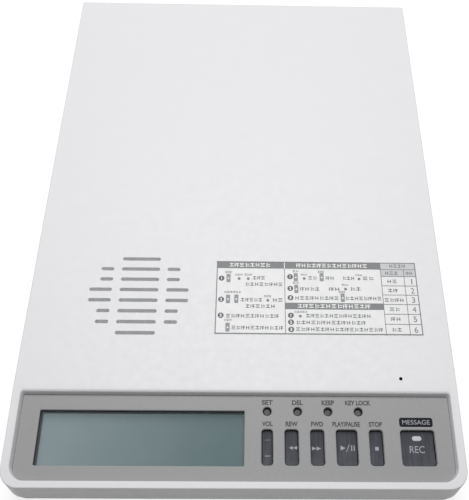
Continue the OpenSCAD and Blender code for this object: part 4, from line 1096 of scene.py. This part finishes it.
def key_print():
    """The transport signs on the keys and the marks on the rocker."""
    def put(marks, name, body, material=INK_LIGHT):
        print_on(PANEL, marks, name, body, material)

    z = dish_at(SIGN_V) + KEY_INK_LIFT
    rewind = [arrow(*x, REWIND_V, SMALL_ARROW_HALF, z) for x in REWIND_ARROWS]
    put(rewind, "rewind_sign", "rewind_key")
    forward = [arrow(*x, FORWARD_V, SMALL_ARROW_HALF, z) for x in FORWARD_ARROWS]
    put(forward, "forward_sign", "forward_key")
    play = [arrow(*PLAY_ARROW, PLAY_V, PLAY_HALF, z), outline(SLASH, (z, z + INK_T))]
    play += [bar(x, PAUSE_V, z) for x in PAUSE_BARS]
    put(play, "play_sign", "play_key")
    put([bar(STOP_X, STOP_V, z)], "stop_sign", "stop_key")
    put([words("REC", RECORD_X, RECORD_V, z, bold=0)], "record_word", "record_key")
    upper = bar(ROCKER_MARK_X, UPPER_MARK, dish_at(UPPER_MARK_AT) + ROCKER_INK_LIFT)
    put([upper], "rocker_upper_sign", "volume_rocker", INK_DIM)
    lower = bar(ROCKER_MARK_X, LOWER_MARK, dish_at(LOWER_MARK_AT) + ROCKER_INK_LIFT)
    put([lower], "rocker_lower_sign", "volume_rocker")


def label_film():
    """The film of the guide label."""
    piece = slab(LABEL_X, LABEL_T, (0.0, LABEL_H))
    round_edges(piece, LABEL_R, 6, upright)
    round_edges(piece, LABEL_EDGE, 2, lambda a, b: min(a.z, b.z) > LABEL_H / 2)
    piece.data.transform(TOP)
    finish(piece, "label_film", "case", [LABEL_WHITE], ["guide_label"])


# Abstract strokes that stand for a line of small print, as bars in a cell one wide and one high
STROKES = (
    ((0.05, 0.85, 0.15, 0.27), (0.1, 0.8, 0.72, 0.84), (0.4, 0.54, 0.1, 0.95)),
    ((0.05, 0.17, 0.1, 0.9), (0.3, 0.85, 0.76, 0.88), (0.3, 0.85, 0.4, 0.52),
     (0.52, 0.64, 0.05, 0.7)),
    ((0.1, 0.8, 0.44, 0.56), (0.12, 0.24, 0.1, 0.9), (0.62, 0.74, 0.1, 0.9)),
    ((0.05, 0.85, 0.8, 0.92), (0.15, 0.7, 0.48, 0.6), (0.05, 0.85, 0.12, 0.24)),
    ((0.2, 0.32, 0.05, 0.95), (0.45, 0.85, 0.62, 0.74), (0.45, 0.85, 0.2, 0.32)),
)
STROKE_BOLD = 0.015
STROKE_PITCH = 1.06


def lines_of(rows, height):
    """Rows of abstract strokes, each from a start to an end across at a place along."""
    cells = []
    for cell in STROKES:
        x = [grown(stroke[:2], STROKE_BOLD) for stroke in cell]
        v = [grown(stroke[2:], STROKE_BOLD) for stroke in cell]
        cells.append(join([bar(*ranges, 0) for ranges in zip(x, v)]))
    marks = []
    step = 0
    for x0, x1, v in rows:
        count = max(1, round((x1 - x0) / (height * STROKE_PITCH)))
        width = (x1 - x0) / count
        grow = Matrix.Diagonal((width, height, 1, 1))
        for i in range(count):
            move = Matrix.Translation((x0 + i * width, v - height / 2, 0))
            marks.append(twin(cells[step % len(cells)], move @ grow))
            step += 1 + (i % 3 == 1)
    for cell in cells:
        bpy.data.objects.remove(cell)
    return marks


# Layout of the guide label, measured from its near left corner: columns, rows and heads
LABEL_COLUMNS = (28.35, 68.7, 78.35)
LABEL_ROWS = (29.95, 26.65, 22.2, 17.95, 13.6, 9.2, 4.7)
LABEL_HEAD = 29.9
LABEL_SECOND_HEAD = (11.05, 14.0)
LABEL_BORDER = 0.2
LABEL_LINE = 0.13
HEAD_GAP_HALF = 0.15
HEAD_GAP_END = 0.5

# Heights of the inks above the lowest one, so that each lies clear of the one below it
RULE_LEVEL = 0.035
NUMBER_LEVEL = 0.034
LINE_LEVEL = 0.04
HEAD_GAP_LEVEL = 0.07

# Lines of the heads, of the small print and of the smallest: start and end across, place along
HEAD_LINE_H, SMALL_LINE_H, TINY_LINE_H = 2.1, 1.85, 1.05
HEAD_LINES = ((5.2, 22.6, 31.5), (33.3, 63.4, 31.5), (33.4, 63.4, 12.55))
SMALL_LINES = (
    (15.0, 20.3, 25.4), (11.9, 27.6, 22.4), (10.1, 19.2, 15.2), (23.2, 27.6, 15.2),
    (12.1, 24.5, 12.3), (4.3, 25.9, 7.9), (6.6, 27.6, 2.7),
    (38.2, 42.0, 25.6), (45.4, 49.2, 25.6), (52.5, 57.7, 25.6), (60.9, 65.8, 25.6),
    (34.5, 42.9, 20.4), (46.5, 51.4, 20.4), (55.3, 60.1, 20.6),
    (32.4, 50.6, 16.2), (53.1, 68.2, 16.2),
    (36.6, 63.3, 8.2), (32.6, 61.0, 5.2), (32.5, 67.7, 2.2),
    (71.0, 75.4, 24.3), (71.0, 75.4, 20.0), (69.3, 77.5, 15.6), (71.0, 75.4, 11.4),
    (71.0, 75.4, 7.0), (71.0, 75.4, 2.3),
    (72.5, 79.6, 31.6), (70.4, 76.1, 28.2), (79.2, 82.2, 28.2),
)
TINY_LINES = (
    (3.5, 6.4, 28.0), (7.6, 11.0, 26.9), (11.6, 14.8, 26.9), (3.4, 10.4, 18.7), (19.7, 22.8, 16.9),
    (3.6, 6.8, 6.1), (31.7, 34.4, 28.7), (35.1, 37.9, 27.1), (42.2, 45.0, 28.5), (57.9, 60.8, 27.1),
    (31.7, 34.4, 23.3), (52.0, 54.9, 22.4), (50.6, 53.4, 19.1), (32.0, 37.5, 9.9),
)

# Middles of the numbered bullets, key signs, dots and table numbers, with their sizes
BULLETS = ((2.1, 25.1), (2.2, 15.3), (2.2, 8.1), (30.6, 26.1), (30.6, 20.6), (30.6, 16.3),
           (30.6, 8.3), (30.6, 5.3), (30.6, 2.1))
BULLET_R = 1.2
BULLET_DIGIT = (0.4, 0.7)
KEY_SIGNS = ((5.0, 25.2), (5.0, 15.5), (8.4, 15.6), (5.1, 2.9), (33.0, 25.9), (43.8, 26.0),
             (33.1, 20.4), (52.1, 16.5))
KEY_SIGN_HALF = (0.85, 1.95)
KEY_SIGN_R = 0.35
KEY_MARK_HALF = 0.3
KEY_MARK_V = (-0.45, 0.15)
DOTS = ((9.4, 25.0), (13.2, 25.0), (21.3, 15.0), (36.5, 25.3), (59.4, 25.3), (53.5, 20.5),
        (34.4, 8.0))
DOT_R = 0.62
TABLE_NUMBERS = ((81.4, 24.3), (81.3, 20.0), (81.2, 15.7), (81.1, 11.4), (81.0, 7.0), (80.9, 2.3))
TABLE_DIGIT = (0.72, 1.25)

# Width of each digit from 1, as a share of a full one
DIGIT_SHARE = (0.32, 1, 1, 1.1, 1, 1)


def digit(value, at, half, bold):
    """A printed digit about a place, from the half sizes of a full one."""
    wide = DIGIT_SHARE[value - 1] * half[0]
    return words(str(value), grown((at[0], at[0]), wide), grown((at[1], at[1]), half[1]), 0, bold)


def label_rules(wide, deep):
    """The lines of the table and the border of the label."""
    inside = (LABEL_BORDER, deep - LABEL_BORDER)
    rules = [bar(grown((x, x), LABEL_LINE), inside, 0) for x in LABEL_COLUMNS[:2]]
    last = LABEL_COLUMNS[2]
    rules.append(bar(grown((last, last), LABEL_LINE), (LABEL_BORDER, LABEL_ROWS[0]), 0))
    across = (LABEL_COLUMNS[1], wide - LABEL_BORDER)
    rules += [bar(across, grown((t, t), LABEL_LINE), 0) for t in LABEL_ROWS]
    rules += [bar((0, wide), grown((t, t), LABEL_BORDER), 0) for t in inside]
    sides = (LABEL_BORDER, wide - LABEL_BORDER)
    rules += [bar(grown((x, x), LABEL_BORDER), (0, deep), 0) for x in sides]
    return rules


def label_print():
    """The print of the guide label, ink by ink."""
    wide, deep = LABEL_X[1] - LABEL_X[0], LABEL_T[1] - LABEL_T[0]

    def put(marks, name, material, level=0.0):
        corner = Matrix.Translation((LABEL_X[0], LABEL_T[0], LABEL_H + INK_LIFT + level))
        print_on(TOP @ corner, marks, name, "case", material)

    first, second = LABEL_COLUMNS[:2]
    top = deep - LABEL_BORDER
    heads = [bar((LABEL_BORDER, second), (LABEL_HEAD, top), 0)]
    heads.append(bar((first, second), LABEL_SECOND_HEAD, 0))
    put(heads, "label_heads", INK_GREY)
    table_head = bar((second, wide - LABEL_BORDER), (LABEL_ROWS[1], top), 0)
    put([table_head], "label_table_heads", INK_TABLE)
    put(label_rules(wide, deep), "label_rules", INK_GREY, RULE_LEVEL)
    head_gap = bar(grown((first, first), HEAD_GAP_HALF), (LABEL_HEAD, deep - HEAD_GAP_END), 0)
    put([head_gap], "label_head_gap", INK_WHITE, HEAD_GAP_LEVEL)
    put(lines_of(HEAD_LINES, HEAD_LINE_H), "label_head_lines", INK_WHITE, LINE_LEVEL)
    put(lines_of(SMALL_LINES, SMALL_LINE_H), "label_lines", INK_GREY, LINE_LEVEL)
    put([drum(x, v, BULLET_R, (0, INK_T), 32) for x, v in BULLETS], "label_bullets", INK_DARK)
    counts = [digit(i % 3 + 1, at, BULLET_DIGIT, WORD_BOLD) for i, at in enumerate(BULLETS)]
    put(counts, "label_bullet_numbers", INK_WHITE, NUMBER_LEVEL)
    tiles = []
    for x, v in KEY_SIGNS:
        tile = slab(grown((x, x), KEY_SIGN_HALF[0]), grown((v, v), KEY_SIGN_HALF[1]), (0, INK_T))
        round_edges(tile, KEY_SIGN_R, 4, upright)
        tiles.append(tile)
    put(tiles, "label_key_signs", INK_MID)
    low, high = KEY_MARK_V
    marks = [bar(grown((x, x), KEY_MARK_HALF), (v + low, v + high), 0) for x, v in KEY_SIGNS]
    put(marks, "label_key_marks", INK_WHITE, NUMBER_LEVEL)
    put([drum(x, v, DOT_R, (0, INK_T), 24) for x, v in DOTS], "label_dots", INK_GREY)
    put(lines_of(TINY_LINES, TINY_LINE_H), "label_small_lines", INK_GREY, LINE_LEVEL)
    numbers = [digit(i + 1, at, TABLE_DIGIT, 0) for i, at in enumerate(TABLE_NUMBERS)]
    put(numbers, "label_numbers", INK_GREY, LINE_LEVEL)


# Sockets and card, shaped from their CAD solids
SOCKET_EDGE = 0.2
CARD_EDGE = 0.15


def softened(node, name, body, material, width):
    """A copy of a CAD node with its edges rounded."""
    piece = twin(frame["nodes"][node])
    for key in [k for k in piece.keys() if k.startswith("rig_")]:
        del piece[key]
    only(piece)
    bpy.ops.object.parent_clear(type="CLEAR_KEEP_TRANSFORM")
    bpy.ops.object.transform_apply(location=True, rotation=True, scale=True)
    piece.data.materials.clear()
    piece.data.transform(Matrix.Scale(1 / MM, 4))
    edit_all(piece)
    bpy.ops.mesh.remove_doubles(threshold=1e-4)
    bpy.ops.mesh.dissolve_limited(angle_limit=math.radians(1))
    bpy.ops.object.mode_set(mode="OBJECT")
    soften(piece, width, 2, 40)
    finish(piece, name, body, [material], [node])


upper_case()
lower_case()
feet()
panel_sheet()
keys()
rocker()
buttons()
panel_print()
key_print()
label_film()
label_print()
softened("modular_jacks", "line_sockets", "case", DARK_PLASTIC, SOCKET_EDGE)
softened("audio_jack", "audio_socket", "case", DARK_PLASTIC, SOCKET_EDGE)
softened("power_jack", "power_socket", "case", DARK_PLASTIC, SOCKET_EDGE)
softened("memory_card", "card", "memory_card", CARD_BLUE, CARD_EDGE)

# The other CAD nodes keep their meshes and take the finish of their slot
slots = {item["node"]: item["material_slot"] for item in frame["record"]["subparts"]}
for node, piece in frame["nodes"].items():
    if not piece.hide_render:
        piece.data.materials.clear()
        piece.data.materials.append(KEPT[slots[node]])


# Floor and light, in metres
FLOOR_SIZE = 8
FLOOR_SEEN = (0.3, 0.3, 0.3, 1)
FLOOR_GLOW = 0.78
FLOOR_DULL = (0.38, 0.38, 0.38, 1)
LAMP_AT = (0, 0.32, 1.05)
LAMP_TILT = math.radians(-9)
LAMP_SIZE = 0.8
LAMP_POWER = 10.9
WORLD_LIGHT = 0.24


def floor_paper():
    """Paper that looks pale and keeps the shadow, but lights the object only as dull paper does."""
    paper = bpy.data.materials.new("floor_paper")
    paper.use_nodes = True
    tree = paper.node_tree
    tree.nodes.clear()

    def node(kind, *sources):
        made = tree.nodes.new(kind)
        for source, target in sources:
            tree.links.new(source, made.inputs[target])
        return made

    def larger(a, b):
        made = node("ShaderNodeMath", (a, 0), (b, 1))
        made.operation = "MAXIMUM"
        return made.outputs["Value"]

    rays = node("ShaderNodeLightPath").outputs
    seen = larger(rays["Is Camera Ray"], rays["Is Transmission Ray"])
    seen = larger(seen, rays["Is Glossy Ray"])
    pale = node("ShaderNodeBsdfDiffuse")
    pale.inputs["Color"].default_value = FLOOR_SEEN
    glow = node("ShaderNodeEmission")
    glow.inputs["Strength"].default_value = FLOOR_GLOW
    lit = node("ShaderNodeAddShader", (pale.outputs["BSDF"], 0), (glow.outputs["Emission"], 1))
    dull = node("ShaderNodeBsdfDiffuse")
    dull.inputs["Color"].default_value = FLOOR_DULL
    sides = (dull.outputs["BSDF"], 1), (lit.outputs["Shader"], 2)
    mix = node("ShaderNodeMixShader", (seen, "Fac"), *sides)
    node("ShaderNodeOutputMaterial", (mix.outputs["Shader"], "Surface"))
    return paper


bpy.ops.object.select_all(action="DESELECT")
bpy.ops.mesh.primitive_plane_add(size=FLOOR_SIZE)
floor = bpy.context.object
floor.name = "floor"
floor.data.materials.append(floor_paper())

bpy.ops.object.light_add(type="AREA", location=LAMP_AT)
lamp = bpy.context.object
lamp.name = "soft_box"
lamp.data.size = LAMP_SIZE
lamp.data.energy = LAMP_POWER
lamp.rotation_euler = (LAMP_TILT, 0, 0)
world = bpy.data.worlds.new("studio")
world.use_nodes = True
sky = world.node_tree.nodes["Background"]
sky.inputs["Color"].default_value = (1, 1, 1, 1)
sky.inputs["Strength"].default_value = WORLD_LIGHT
bpy.context.scene.world = world

# The camera of the photograph, whose frame is 469 by 500 pixels
PHOTO_W, PHOTO_H = 469, 500
FOCAL = 731.6223
CENTRE = (262.722, 246.4236)
SENSOR = 36
EYE = Vector((4.2055, -204.0706, 283.1908)) * MM
TILT, PAN, ROLL = 0.9604, -0.0328, 0.0372
NEAREST = 0.01
ahead = Vector((-math.sin(PAN) * math.cos(TILT), math.cos(PAN) * math.cos(TILT), -math.sin(TILT)))
across = ahead.cross(UP).normalized()
above = across.cross(ahead)
right = math.cos(ROLL) * across + math.sin(ROLL) * above
up = math.cos(ROLL) * above - math.sin(ROLL) * across
bpy.ops.object.camera_add()
camera = bpy.context.object
camera.name = "photo_camera"
turn = Matrix((right, up, -ahead)).transposed().to_4x4()
camera.matrix_world = Matrix.Translation(EYE) @ turn
camera.data.sensor_width = SENSOR
camera.data.lens = SENSOR * FOCAL / PHOTO_H
camera.data.shift_x = (PHOTO_W / 2 - CENTRE[0]) / PHOTO_H
camera.data.shift_y = (CENTRE[1] - PHOTO_H / 2) / PHOTO_H
camera.data.clip_start = NEAREST
bpy.context.scene.camera = camera
bpy.context.scene.view_settings.view_transform = "Standard"
